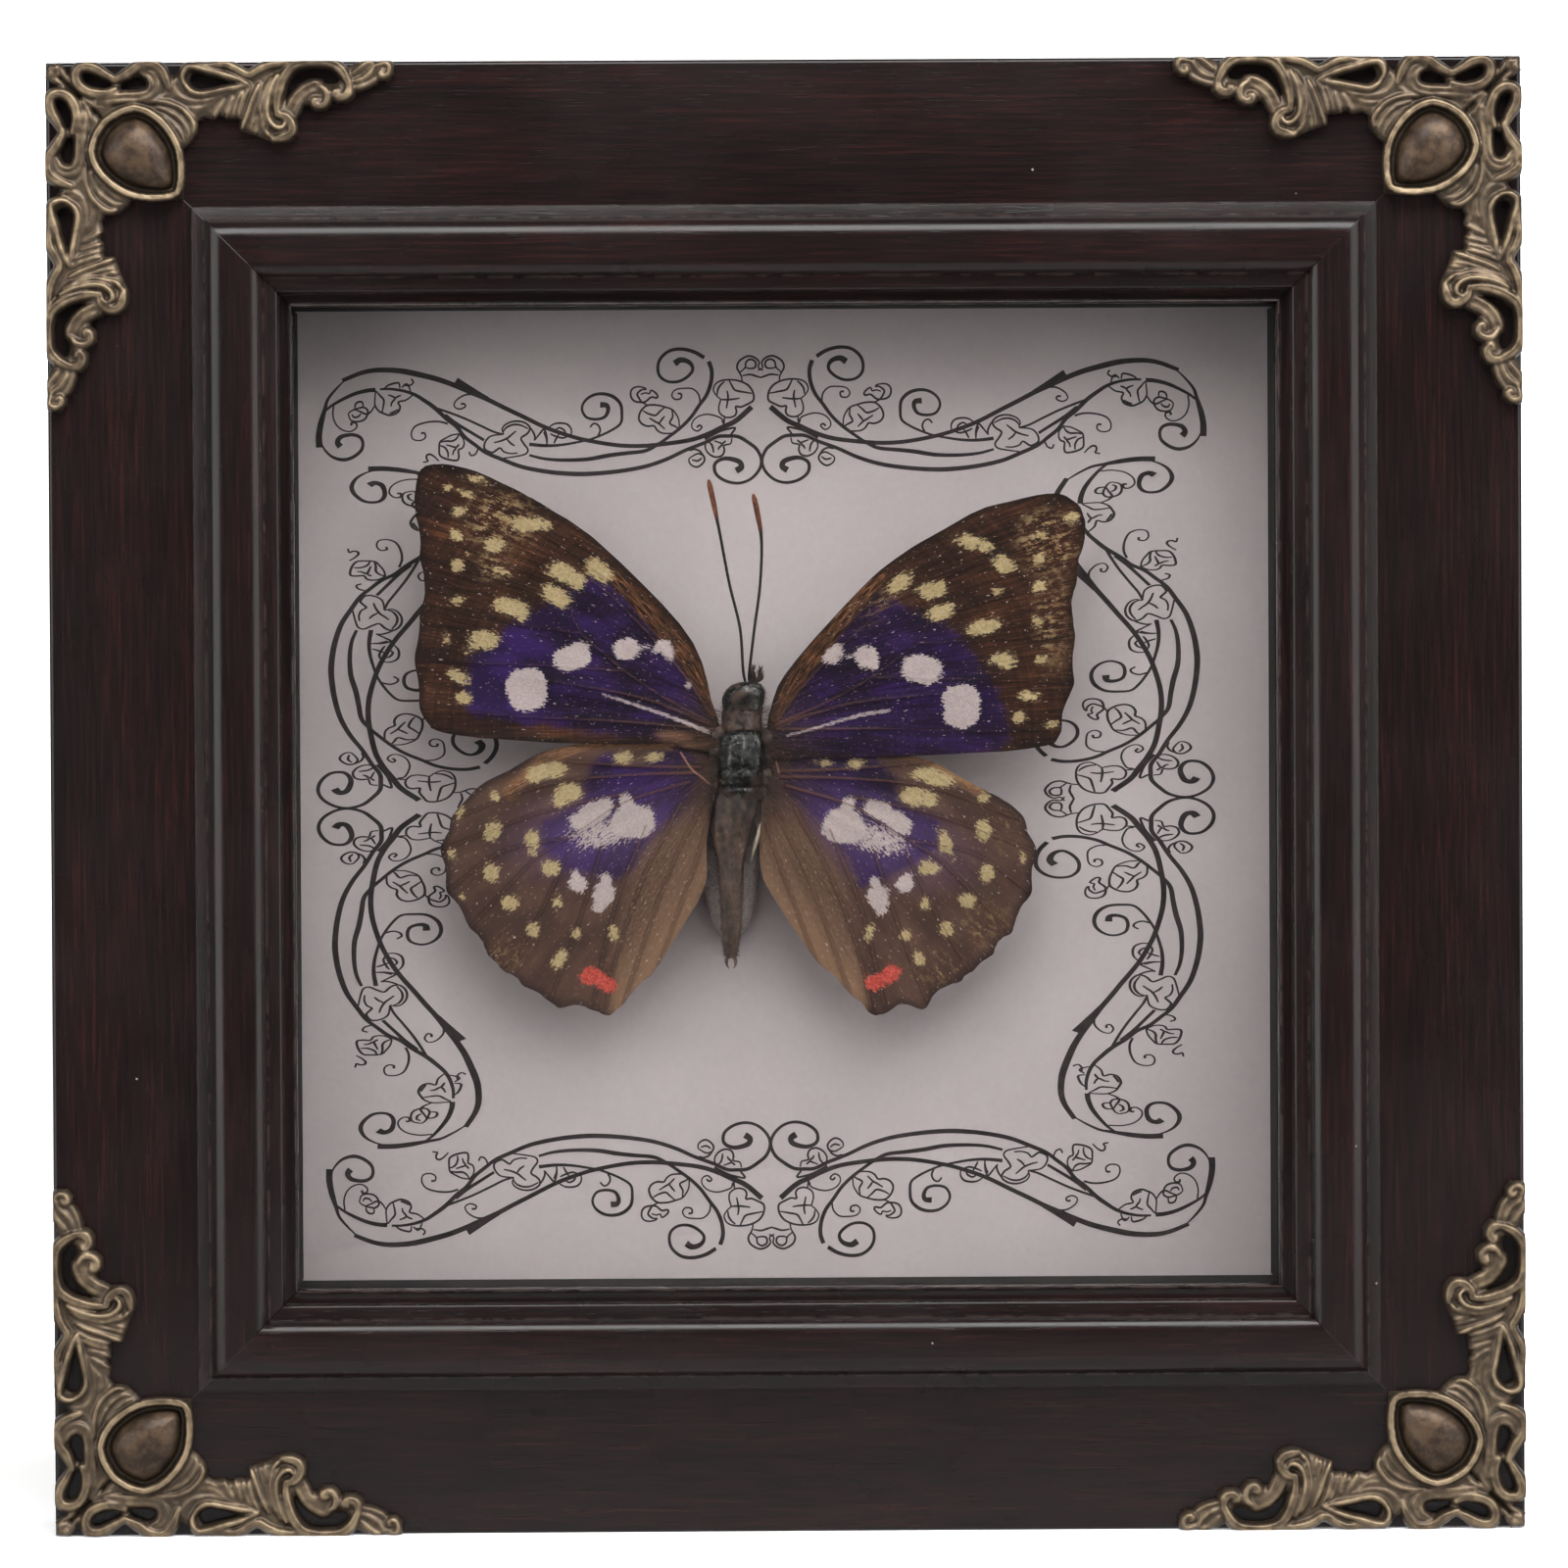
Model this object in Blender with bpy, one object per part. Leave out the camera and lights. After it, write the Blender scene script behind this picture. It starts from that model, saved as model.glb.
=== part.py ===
"""Framed butterfly specimen: a spread butterfly in a square shadow-box frame with cast corner ornaments.

World axes: +X to the viewer's right, +Z up, and the glazed front faces -Y.
The frame stands on its bottom edge, so Z runs from 0 to FRAME, and X from -FRAME / 2 to FRAME / 2.
Lengths below are in millimetres and become metres when a mesh is made.
"""

import math

import bmesh
import bpy
from mathutils import Matrix, Vector

MM = 0.001
GAP = 0.3  # clearance kept between pieces that touch

# The frame and its box, by depth along Y.
FRAME = 200.0
HALF = FRAME / 2
FACE_Y = -11.0  # the flat outer face of the rails
REAR_Y = 15.0
GLASS_SEAT_Y = -7.5
GLASS_THICK = 2.0
CARD_Y = 9.0
CARD_THICK = 0.8
BOARD_THICK = 2.5
POINT_THICK = 0.5

# The moulding, by distance U from the rail's outer edge.
FLAT_WIDTH = 19.6
CREST_HEIGHT = 3.95
SIGHT_U = 33.2
RABBET_U = 30.2
MITRE_GAP = 0.15

# The cast corner ornament, by U along one arm and V inwards from the other edge.
PLATE_THICK = 2.4
BEZEL_RISE = 1.7
CABOCHON_RISE = 2.2

# The specimen. Its body axis leans a little to the right at the head.
WING_THICK = 0.25
FOREWING_Y = -1.0
HINDWING_Y = -0.35
BODY_Y = 0.2
PAD_THICK = 4.7

# Colours, roughness and metallic value of each material.
FINISHES = {
    "mahogany": ((0.020, 0.013, 0.011), 0.45, 0.0),
    "antique_bronze": ((0.20, 0.15, 0.09), 0.40, 0.9),
    "clear_glass": ((0.95, 0.97, 0.97), 0.02, 0.0),
    "black_spacer": ((0.03, 0.027, 0.026), 0.80, 0.0),
    "printed_card": ((0.62, 0.58, 0.58), 0.90, 0.0),
    "foam_pad": ((0.25, 0.22, 0.22), 0.95, 0.0),
    "wing_scales": ((0.07, 0.035, 0.03), 0.85, 0.0),
    "insect_body": ((0.05, 0.035, 0.028), 0.50, 0.0),
    "hardboard": ((0.25, 0.14, 0.07), 0.85, 0.0),
    "zinc_steel": ((0.55, 0.55, 0.53), 0.35, 1.0),
}


def clear_scene():
    for found in list(bpy.data.objects):
        bpy.data.objects.remove(found, do_unlink=True)


def make_materials():
    made = {}
    for name, (colour, roughness, metallic) in FINISHES.items():
        material = bpy.data.materials.new(name)
        material.use_nodes = True
        shader = material.node_tree.nodes["Principled BSDF"]
        shader.inputs["Base Color"].default_value = (*colour, 1.0)
        shader.inputs["Roughness"].default_value = roughness
        shader.inputs["Metallic"].default_value = metallic
        if name == "clear_glass":
            shader.inputs["Transmission Weight"].default_value = 1.0
        made[name] = material
    return made


def add_object(name, mesh, material, parent=None):
    mesh.materials.clear()
    mesh.materials.append(material)
    made = bpy.data.objects.new(name, mesh)
    made.parent = parent
    bpy.context.scene.collection.objects.link(made)
    return made


def add_empty(name, at=(0.0, 0.0, 0.0)):
    made = bpy.data.objects.new(name, None)
    made.location = Vector(at) * MM
    bpy.context.scene.collection.objects.link(made)
    return made


def finish_mesh(bm, name, smooth_angle=None):
    """The bmesh, drawn in millimetres, as a mesh in metres with its faces pointing out."""
    bmesh.ops.recalc_face_normals(bm, faces=bm.faces)
    bmesh.ops.scale(bm, vec=(MM, MM, MM), verts=bm.verts)
    mesh = bpy.data.meshes.new(name)
    bm.to_mesh(mesh)
    bm.free()
    if smooth_angle is not None:
        mesh.shade_smooth()
        mesh.set_sharp_from_angle(angle=math.radians(smooth_angle))
    return mesh


def slab(name, outline, front, back):
    """An outline of (X, Z) points made solid from Y = front to Y = back."""
    bm = bmesh.new()
    base = bm.faces.new([bm.verts.new((x, front, z)) for x, z in outline])
    extruded = bmesh.ops.extrude_face_region(bm, geom=[base])["geom"]
    moved = [item for item in extruded if isinstance(item, bmesh.types.BMVert)]
    bmesh.ops.translate(bm, vec=(0.0, back - front, 0.0), verts=moved)
    return finish_mesh(bm, name)


def box(name, low, high):
    (x0, y0, z0), (x1, y1, z1) = low, high
    return slab(name, [(x0, z0), (x1, z0), (x1, z1), (x0, z1)], y0, y1)


def arc(centre, radius, start, end, steps):
    """Points on an ellipse's arc, at angles in degrees; radius is one number or one for each axis."""
    rx, ry = radius if isinstance(radius, tuple) else (radius, radius)
    angles = [math.radians(start + (end - start) * i / steps) for i in range(steps + 1)]
    return [(centre[0] + rx * math.cos(a), centre[1] + ry * math.sin(a)) for a in angles]


def tilted_ellipse(centre, radii, tilt, steps):
    turn = Matrix.Rotation(math.radians(tilt), 2)
    rim = [turn @ Vector(point) for point in arc((0.0, 0.0), radii, 0.0, 360.0, steps)[:-1]]
    return [(centre[0] + point.x, centre[1] + point.y) for point in rim]


def cut_with(target, cutter, operation="DIFFERENCE"):
    cutter.hide_render = True
    cutter.display_type = "WIRE"
    boolean = target.modifiers.new(cutter.name, "BOOLEAN")
    boolean.object = cutter
    boolean.operation = operation
    boolean.solver = "EXACT"


def moulding_profile():
    """The rail's section as (U, Y) points, from the rear outer edge over the front to the rabbet."""
    front = arc((0.6, -0.6), 0.6, 180, 90, 3)
    front += [(FLAT_WIDTH, 0.0), (FLAT_WIDTH + 0.15, 0.5)]
    front += arc((19.95, 1.85), (1.35, 1.25), 270, 350, 3)
    front += [(21.5, 1.7)]
    front += arc((24.0, 1.7), (2.4, CREST_HEIGHT - 1.75), 165, 90, 4)
    front += arc((27.2, 2.65), (1.9, CREST_HEIGHT - 2.65), 90, 10, 4)
    front += [(29.8, 2.2), (30.5, 1.95), (31.0, 1.4), (31.0, -0.5)]
    front += [(SIGHT_U - 0.2, -0.5), (SIGHT_U, -0.7)]
    profile = [(0.0, REAR_Y)]
    profile += [(u, FACE_Y - height) for u, height in front]
    profile += [(SIGHT_U, GLASS_SEAT_Y), (RABBET_U, GLASS_SEAT_Y), (RABBET_U, REAR_Y)]
    return profile


def rail_mesh():
    """The top rail about the frame's centre: the section swept along X and mitred at both ends."""
    bm = bmesh.new()
    ends = []
    for side in (-1, 1):
        end = [(side * (HALF - u - MITRE_GAP), y, HALF - u) for u, y in moulding_profile()]
        ends.append([bm.verts.new(corner) for corner in end])
    left, right = ends
    count = len(left)
    for i in range(count):
        j = (i + 1) % count
        bm.faces.new((left[i], left[j], right[j], right[i]))
    bm.faces.new(left)
    bm.faces.new(right[::-1])
    return finish_mesh(bm, "rail", smooth_angle=25)


def add_rails(centre, material):
    """Four rails, each the top rail turned a quarter further about the frame's centre."""
    shared = rail_mesh()
    rails = {}
    for quarter, side in enumerate(("top", "right", "bottom", "left")):
        rail = add_object("rail_" + side, shared if side == "top" else shared.copy(), material, centre)
        rail.rotation_euler.y = math.radians(90 * quarter)
        rails[side] = rail
    return rails


def add_glazing_stack(centre, materials):
    """The pane, the spacers behind it, the card and the back board, all inside the rabbet."""
    reach = HALF - RABBET_U - GAP
    glass_back = GLASS_SEAT_Y + GAP + GLASS_THICK
    pane = box("glass", (-reach, GLASS_SEAT_Y + GAP, -reach), (reach, glass_back, reach))
    add_object("glass_pane", pane, materials["clear_glass"], centre)

    inner = HALF - SIGHT_U
    spacer_y = (glass_back + GAP, CARD_Y - GAP)
    for name, sign in (("spacer_top", 1), ("spacer_bottom", -1)):
        low, high = sorted((sign * inner, sign * reach))
        strip = box(name, (-reach, spacer_y[0], low), (reach, spacer_y[1], high))
        add_object(name, strip, materials["black_spacer"], centre)
    for name, sign in (("spacer_right", 1), ("spacer_left", -1)):
        low, high = sorted((sign * inner, sign * reach))
        stop = inner - GAP
        strip = box(name, (low, spacer_y[0], -stop), (high, spacer_y[1], stop))
        add_object(name, strip, materials["black_spacer"], centre)

    card = box("card", (-reach, CARD_Y, -reach), (reach, CARD_Y + CARD_THICK, reach))
    add_object("backing_card", card, materials["printed_card"], centre)
    board_y = CARD_Y + CARD_THICK + GAP
    board = box("board", (-reach, board_y, -reach), (reach, board_y + BOARD_THICK, reach))
    add_object("back_board", board, materials["hardboard"], centre)
    return board_y + BOARD_THICK


def add_flex_points(centre, rails, board_back, material):
    """Two pointed steel tabs a side, driven into kerfs in the rail to hold the back board."""
    bite, reach, width = 3.0, 12.0, 7.0
    y = board_back + GAP
    wall = HALF - RABBET_U
    tab = [(-width / 2, wall - reach), (width / 2, wall - reach), (width / 2, wall + 0.5), (0, wall + bite)]
    tab.append((-width / 2, wall + 0.5))
    along, inside, beyond = width / 2 + GAP, wall - 1.0, wall + bite + GAP
    for quarter, side in enumerate(("top", "right", "bottom", "left")):
        for number, offset in ((1, -38.0), (2, 38.0)):
            place = Matrix.Translation((offset * MM, 0, 0))
            turn = Matrix.Rotation(math.radians(90 * quarter), 4, "Y")
            point = add_object(
                f"flex_point_{side}_{number}", slab("tab", tab, y, y + POINT_THICK), material, centre
            )
            point.matrix_local = turn @ place
            kerf = add_object(
                f"kerf_{side}_{number}",
                box("kerf", (-along, y - GAP, inside), (along, y + POINT_THICK + GAP, beyond)),
                material,
                centre,
            )
            kerf.matrix_local = turn @ place
            cut_with(rails[side], kerf)


def cylinder(name, radius, front, back, x, z, sides=16):
    rim = arc((x, z), radius, 0.0, 360.0, sides)[:-1]
    return slab(name, rim, front, back)


def add_hanger(centre, top_rail, material):
    """A sawtooth strip on the rear of the top rail, held by a nail at each end."""
    half_length, half_height, thick, lift = 22.0, 3.2, 0.6, 1.0
    z = HALF - RABBET_U / 2
    y = REAR_Y + GAP
    nail_x = half_length - 3.0
    flat_end, flat_middle = 16.0, 14.5
    side_view = [(-half_length, 0.0), (-flat_end, 0.0), (-flat_middle, lift)]
    side_view += [(-x, rise) for x, rise in reversed(side_view)]
    bm = bmesh.new()
    loop = [bm.verts.new((x, y + rise, z - half_height)) for x, rise in side_view]
    loop += [bm.verts.new((x, y + rise + thick, z - half_height)) for x, rise in reversed(side_view)]
    base = bm.faces.new(loop)
    extruded = bmesh.ops.extrude_face_region(bm, geom=[base])["geom"]
    moved = [item for item in extruded if isinstance(item, bmesh.types.BMVert)]
    bmesh.ops.translate(bm, vec=(0.0, 0.0, 2 * half_height), verts=moved)
    hanger = add_object("sawtooth_hanger", finish_mesh(bm, "hanger"), material, centre)

    teeth, pitch = 9, 2.6
    notches = [(-teeth * pitch / 2, z - half_height - 1.0)]
    for i in range(teeth):
        left = (i - teeth / 2) * pitch
        notches += [(left, z - half_height - 0.2), (left + pitch / 2, z - half_height + 1.5)]
    notches += [(teeth * pitch / 2, z - half_height - 0.2), (teeth * pitch / 2, z - half_height - 1.0)]
    saw = slab("saw", notches, y - 1, y + lift + thick + 1)
    cut_with(hanger, add_object("hanger_teeth_cutter", saw, material, centre))

    shank, head, hole = 0.6, 1.7, 0.95
    head_y = y + thick + GAP
    for name, x in (("hanger_nail_left", nail_x), ("hanger_nail_right", -nail_x)):
        bm = bmesh.new()
        rings = [(shank, y - 7.0), (shank, head_y), (head, head_y), (head, head_y + 0.6)]
        loops = []
        for radius, ring_y in rings:
            rim = arc((x, z), radius, 0, 360, 16)[:-1]
            loops.append([bm.verts.new((rim_x, ring_y, rim_z)) for rim_x, rim_z in rim])
        tip = bm.verts.new((x, y - 8.2, z))
        for near, far in zip(loops, loops[1:]):
            for i in range(16):
                bm.faces.new((near[i], near[(i + 1) % 16], far[(i + 1) % 16], far[i]))
        for i in range(16):
            bm.faces.new((tip, loops[0][(i + 1) % 16], loops[0][i]))
        bm.faces.new(loops[-1])
        add_object(name, finish_mesh(bm, name, smooth_angle=40), material, centre)
        drill = cylinder("hole", hole, y - 8.6, y + 3.0, x, z)
        bore = add_object(name + "_hole", drill, material, centre)
        cut_with(top_rail, bore)
        cut_with(hanger, bore)


def ornament_outline():
    """The casting's edge as (U, V): out along one arm, back along its inner side, then mirrored."""
    outer = [(0.3, 0.3), (2.2, 0.25), (3.3, 1.3), (4.4, 0.45), (5.9, 0.3), (8.4, 1.5), (10.6, 1.7)]
    outer += [(13.2, 0.6), (15.2, 0.3), (17.0, 2.0), (18.8, 0.8), (21.5, 0.3), (24.6, 0.45), (27.6, 1.6)]
    outer += [(30.6, 0.5), (35.0, 0.3), (39.2, 0.3), (41.2, 1.3), (43.6, 0.35), (46.2, 0.3), (47.0, 1.1)]
    inner = [(46.2, 2.1), (43.8, 3.1), (41.5, 4.4), (39.8, 5.2), (38.4, 5.6), (37.0, 6.4), (35.2, 6.0)]
    inner += [(34.0, 7.6), (33.6, 9.8), (31.6, 11.1), (28.4, 10.2), (25.6, 8.2), (22.6, 8.1)]
    inner += [(20.9, 8.9), (20.6, 10.8), (19.1, 11.8), (19.2, 15.0), (18.7, 18.0)]
    half = outer + inner
    return half + [(v, u) for u, v in reversed(half)]


def bezel_outline(grow):
    """The drop-shaped setting: round towards the frame's corner and pointed inwards, on the diagonal."""
    centre, radius, tip = 11.5, 5.0 + grow, 17.9 + grow
    rounded = arc((centre, centre), radius, 135 + 12, 315 - 12, 14)
    swell = radius * math.sin(math.radians(78))
    upper = [(centre + swell * 0.92, centre - swell * 0.42), (tip - 0.6, tip - 3.8)]
    lower = [(v, u) for u, v in reversed(upper)]
    return rounded + upper + [(tip, tip - 0.6), (tip - 0.6, tip)] + lower


def hung(points):
    """Points in (U, V), with V measured downwards from the top edge, as (X, Z)."""
    return [(u, -v) for u, v in points]


def add_ornaments(centre, material):
    """One casting, made four times and turned a quarter further for each corner."""
    back = FACE_Y - GAP
    front = back - PLATE_THICK
    openings = [
        tilted_ellipse((6.7, 2.7), (2.1, 0.75), 20, 12),
        tilted_ellipse((12.3, 3.2), (1.7, 0.9), 0, 12),
        [
            (19.6, 2.3), (20.2, 1.4), (21.8, 1.1), (24.4, 1.7), (27.0, 2.8), (24.0, 3.3), (21.6, 3.7),
            (20.1, 3.3),
        ],
        [
            (32.9, 4.6), (33.4, 2.8), (34.6, 1.5), (36.8, 0.95), (38.8, 1.5), (39.6, 2.8), (36.6, 3.0),
            (34.2, 4.0),
        ],
    ]
    for quarter, corner in enumerate(("top_left", "top_right", "bottom_right", "bottom_left")):
        place = Matrix.Rotation(math.radians(90 * quarter), 4, "Y")
        place = place @ Matrix.Translation((-HALF * MM, 0, HALF * MM))
        plate = slab("plate", hung(ornament_outline()), front, back)
        ornament = add_object("corner_ornament_" + corner, plate, material, centre)
        ornament.matrix_local = place
        helpers = []
        ring = slab("ring", hung(bezel_outline(0.0)), front - BEZEL_RISE, back)
        helpers.append((add_object("bezel_" + corner, ring, material, centre), "UNION"))
        well = slab("well", hung(bezel_outline(-0.9)), front - BEZEL_RISE - 1, front - 0.1)
        helpers.append((add_object("bezel_well_" + corner, well, material, centre), "DIFFERENCE"))
        bm = bmesh.new()
        bmesh.ops.create_uvsphere(bm, u_segments=20, v_segments=10, radius=1.0)
        dome = Matrix.Translation((12.7, front, -12.7))
        dome = dome @ Matrix.Rotation(math.radians(45), 4, "Y")
        dome = dome @ Matrix.Diagonal((4.9, CABOCHON_RISE, 3.5, 1.0))
        bmesh.ops.transform(bm, matrix=dome, verts=bm.verts)
        stone = finish_mesh(bm, "cabochon", smooth_angle=60)
        helpers.append((add_object("cabochon_" + corner, stone, material, centre), "UNION"))
        for number, opening in enumerate(openings):
            for mirrored in (False, True):
                points = [(v, u) for u, v in opening] if mirrored else opening
                hole = slab("opening", hung(points), front - 1, back + 1)
                label = f"opening_{corner}_{number}_{int(mirrored)}"
                helpers.append((add_object(label, hole, material, centre), "DIFFERENCE"))
        for helper, operation in helpers:
            helper.matrix_local = place
            cut_with(ornament, helper, operation)


# Wing outlines as (X, Z), from the root along the leading edge and back to the root.
LEFT_FOREWING = [
    (-10.2, 113.2), (-12.6, 121.0), (-19.4, 129.0), (-29.6, 138.2), (-39.9, 144.0), (-45.0, 145.6),
    (-49.2, 145.7), (-50.7, 143.0), (-50.3, 136.5), (-49.6, 128.0), (-50.8, 120.0), (-50.2, 113.0),
    (-49.2, 110.0), (-46.8, 108.5), (-40.0, 108.0), (-26.4, 107.2), (-10.2, 107.8),
]
RIGHT_FOREWING = [
    (-1.7, 113.2), (1.5, 118.6), (10.1, 128.0), (15.2, 132.4), (25.2, 138.7), (30.7, 140.4),
    (36.0, 141.3), (39.6, 140.4), (41.0, 138.7), (41.0, 134.0), (39.7, 128.0), (39.7, 122.4),
    (39.5, 115.0), (38.2, 111.0), (37.4, 107.6), (35.5, 106.3), (25.5, 105.7), (10.0, 105.2), (-1.7, 106.4),
]
LEFT_HINDWING = [
    (-10.2, 107.0), (-23.3, 107.6), (-29.5, 107.0), (-34.2, 105.9), (-38.8, 104.0), (-42.6, 101.9),
    (-45.5, 98.0), (-47.4, 93.5), (-47.0, 88.5), (-45.0, 84.0), (-43.0, 81.6), (-41.2, 77.7),
    (-37.8, 75.4), (-36.5, 73.5), (-32.6, 72.0), (-31.3, 70.5), (-27.7, 70.9), (-24.2, 69.6),
    (-21.8, 72.4), (-18.7, 75.3), (-14.9, 81.2), (-11.2, 87.6), (-10.9, 94.0),
]
RIGHT_HINDWING = [
    (-1.7, 105.2), (10.0, 106.2), (18.5, 105.0), (22.9, 103.2), (29.4, 100.1), (32.6, 97.0),
    (34.4, 92.4), (33.8, 87.0), (31.6, 82.1), (29.4, 79.4), (28.7, 77.5), (25.1, 75.5), (24.2, 73.9),
    (20.1, 72.2), (18.7, 70.2), (15.3, 70.7), (12.1, 69.5), (8.7, 72.8), (4.7, 76.6), (2.1, 80.1),
    (-1.9, 86.2), (-3.5, 90.0), (-3.4, 97.0),
]

# Points of each antenna as (X, Z), from the head out to the tip of its club.
LEFT_ANTENNA = [(-5.8, 117.4), (-6.2, 123.0), (-7.6, 129.0), (-8.9, 136.0), (-9.7, 140.0), (-10.4, 143.3)]
RIGHT_ANTENNA = [(-4.9, 117.4), (-4.2, 123.0), (-3.4, 129.0), (-3.2, 135.0), (-3.8, 139.0), (-4.3, 141.3)]


def ellipsoid(name, centre, radii):
    bm = bmesh.new()
    bmesh.ops.create_uvsphere(bm, u_segments=18, v_segments=12, radius=1.0)
    bmesh.ops.scale(bm, vec=radii, verts=bm.verts)
    bmesh.ops.translate(bm, vec=centre, verts=bm.verts)
    return finish_mesh(bm, name, smooth_angle=80)


def abdomen_mesh():
    """A body tapering from the thorax down to a narrow tip, as rings along its axis."""
    top, tip = Vector((-6.9, BODY_Y, 99.4)), Vector((-7.6, BODY_Y + 0.5, 76.8))
    taper = [(0.0, 1.2), (0.03, 2.1), (0.1, 2.8), (0.3, 3.0)]
    taper += [(0.5, 2.7), (0.7, 2.1), (0.88, 1.5), (1.0, 0.9)]
    sides = 16
    bm = bmesh.new()
    rings = []
    for along, radius in taper:
        middle = top.lerp(tip, along)
        rim = arc((middle.x, middle.y), radius, 0, 360, sides)[:-1]
        rings.append([bm.verts.new((x, y, middle.z)) for x, y in rim])
    for near, far in zip(rings, rings[1:]):
        for i in range(sides):
            bm.faces.new((near[i], near[(i + 1) % sides], far[(i + 1) % sides], far[i]))
    bm.faces.new(rings[0])
    bm.faces.new(rings[-1])
    return finish_mesh(bm, "abdomen", smooth_angle=50)


def add_antenna(name, points, material, parent):
    """A thin stalk that swells into a long club over its last third."""
    curve = bpy.data.curves.new(name, "CURVE")
    curve.dimensions = "3D"
    curve.bevel_depth = 0.25 * MM
    curve.bevel_resolution = 2
    curve.use_fill_caps = True
    spline = curve.splines.new("POLY")
    spline.points.add(len(points) - 1)
    swell = [1.0, 1.0, 1.0, 1.0, 2.0, 1.2]
    for knot, (x, z), size in zip(spline.points, points, swell):
        knot.co = (x * MM, (BODY_Y - 0.6) * MM, (z - HALF) * MM, 1.0)
        knot.radius = size
    curve.materials.append(material)
    made = bpy.data.objects.new(name, curve)
    made.parent = parent
    bpy.context.scene.collection.objects.link(made)


def below_centre(points):
    """(X, Z) points with Z from the frame's foot, as points about its centre."""
    return [(x, z - HALF) for x, z in points]


def add_specimen(centre, materials):
    """The pad on the card and the spread butterfly held on it. Z is measured from the frame's foot."""
    wings = (
        ("forewing_left", LEFT_FOREWING, FOREWING_Y),
        ("forewing_right", RIGHT_FOREWING, FOREWING_Y),
        ("hindwing_left", LEFT_HINDWING, HINDWING_Y),
        ("hindwing_right", RIGHT_HINDWING, HINDWING_Y),
    )
    for name, outline, y in wings:
        sheet = slab(name, below_centre(outline), y, y + WING_THICK)
        add_object(name, sheet, materials["wing_scales"], centre)

    body = materials["insect_body"]
    thorax = ellipsoid("thorax", (-5.9, BODY_Y, 106.5 - HALF), (3.6, 3.5, 6.8))
    add_object("thorax", thorax, body, centre)
    head = ellipsoid("head", (-5.2, BODY_Y, 115.3 - HALF), (2.8, 2.4, 1.7))
    add_object("head", head, body, centre)
    abdomen = add_object("abdomen", abdomen_mesh(), body, centre)
    abdomen.location.z = -HALF * MM
    add_antenna("antenna_left", LEFT_ANTENNA, body, centre)
    add_antenna("antenna_right", RIGHT_ANTENNA, body, centre)

    pad_back = CARD_Y - GAP
    rim = tilted_ellipse((-7.6, 90.5 - HALF), (4.0, 10.6), -3, 32)
    pad = slab("pad", rim, pad_back - PAD_THICK, pad_back)
    add_object("rest_pad", pad, materials["foam_pad"], centre)


def main():
    clear_scene()
    materials = make_materials()
    centre = add_empty("frame_centre", (0.0, 0.0, HALF))
    rails = add_rails(centre, materials["mahogany"])
    board_back = add_glazing_stack(centre, materials)
    add_flex_points(centre, rails, board_back, materials["zinc_steel"])
    add_hanger(centre, rails["top"], materials["zinc_steel"])
    add_ornaments(centre, materials["antique_bronze"])
    add_specimen(centre, materials)


main()
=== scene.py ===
"""Looks of the framed butterfly specimen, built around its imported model."""
import math

import bpy
import numpy as np
from mathutils import Matrix, Vector


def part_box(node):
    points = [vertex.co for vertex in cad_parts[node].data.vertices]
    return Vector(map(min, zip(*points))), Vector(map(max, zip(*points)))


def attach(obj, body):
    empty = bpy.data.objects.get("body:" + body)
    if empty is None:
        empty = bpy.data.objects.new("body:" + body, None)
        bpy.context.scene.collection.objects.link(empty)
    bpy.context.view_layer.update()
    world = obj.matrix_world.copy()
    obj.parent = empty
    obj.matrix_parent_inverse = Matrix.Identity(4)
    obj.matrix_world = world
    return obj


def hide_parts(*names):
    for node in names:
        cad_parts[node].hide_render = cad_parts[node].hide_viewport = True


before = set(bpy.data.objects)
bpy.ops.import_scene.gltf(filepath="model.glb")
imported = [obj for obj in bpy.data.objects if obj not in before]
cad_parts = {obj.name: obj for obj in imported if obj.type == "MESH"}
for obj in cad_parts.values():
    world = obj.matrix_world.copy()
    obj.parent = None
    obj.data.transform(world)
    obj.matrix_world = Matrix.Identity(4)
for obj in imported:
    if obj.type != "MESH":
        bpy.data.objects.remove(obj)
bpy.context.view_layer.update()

MM = 0.001

# The castings stand this far inside the frame's outline, and the big bead this far over its flat
# face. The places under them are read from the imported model. All in millimetres.
CASTING_INSET = 0.3
BEAD_RISE = 3.95
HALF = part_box("corner_ornament_top_right")[1].x / MM + CASTING_INSET
REAR_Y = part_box("rail_top")[1].y / MM
FACE_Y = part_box("rail_top")[0].y / MM + BEAD_RISE
CARD_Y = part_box("backing_card")[0].y / MM
SIGHT_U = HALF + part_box("spacer_left")[1].x / MM
SIDES = ("top", "right", "bottom", "left")


# ---------------------------------------------------------------- small helpers

def srgb(red, green, blue):
    """A colour given as 0-255 display values, in linear light."""
    channels = [value / 255 for value in (red, green, blue)]
    return tuple(c / 12.92 if c <= 0.04045 else ((c + 0.055) / 1.055) ** 2.4 for c in channels)


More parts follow.
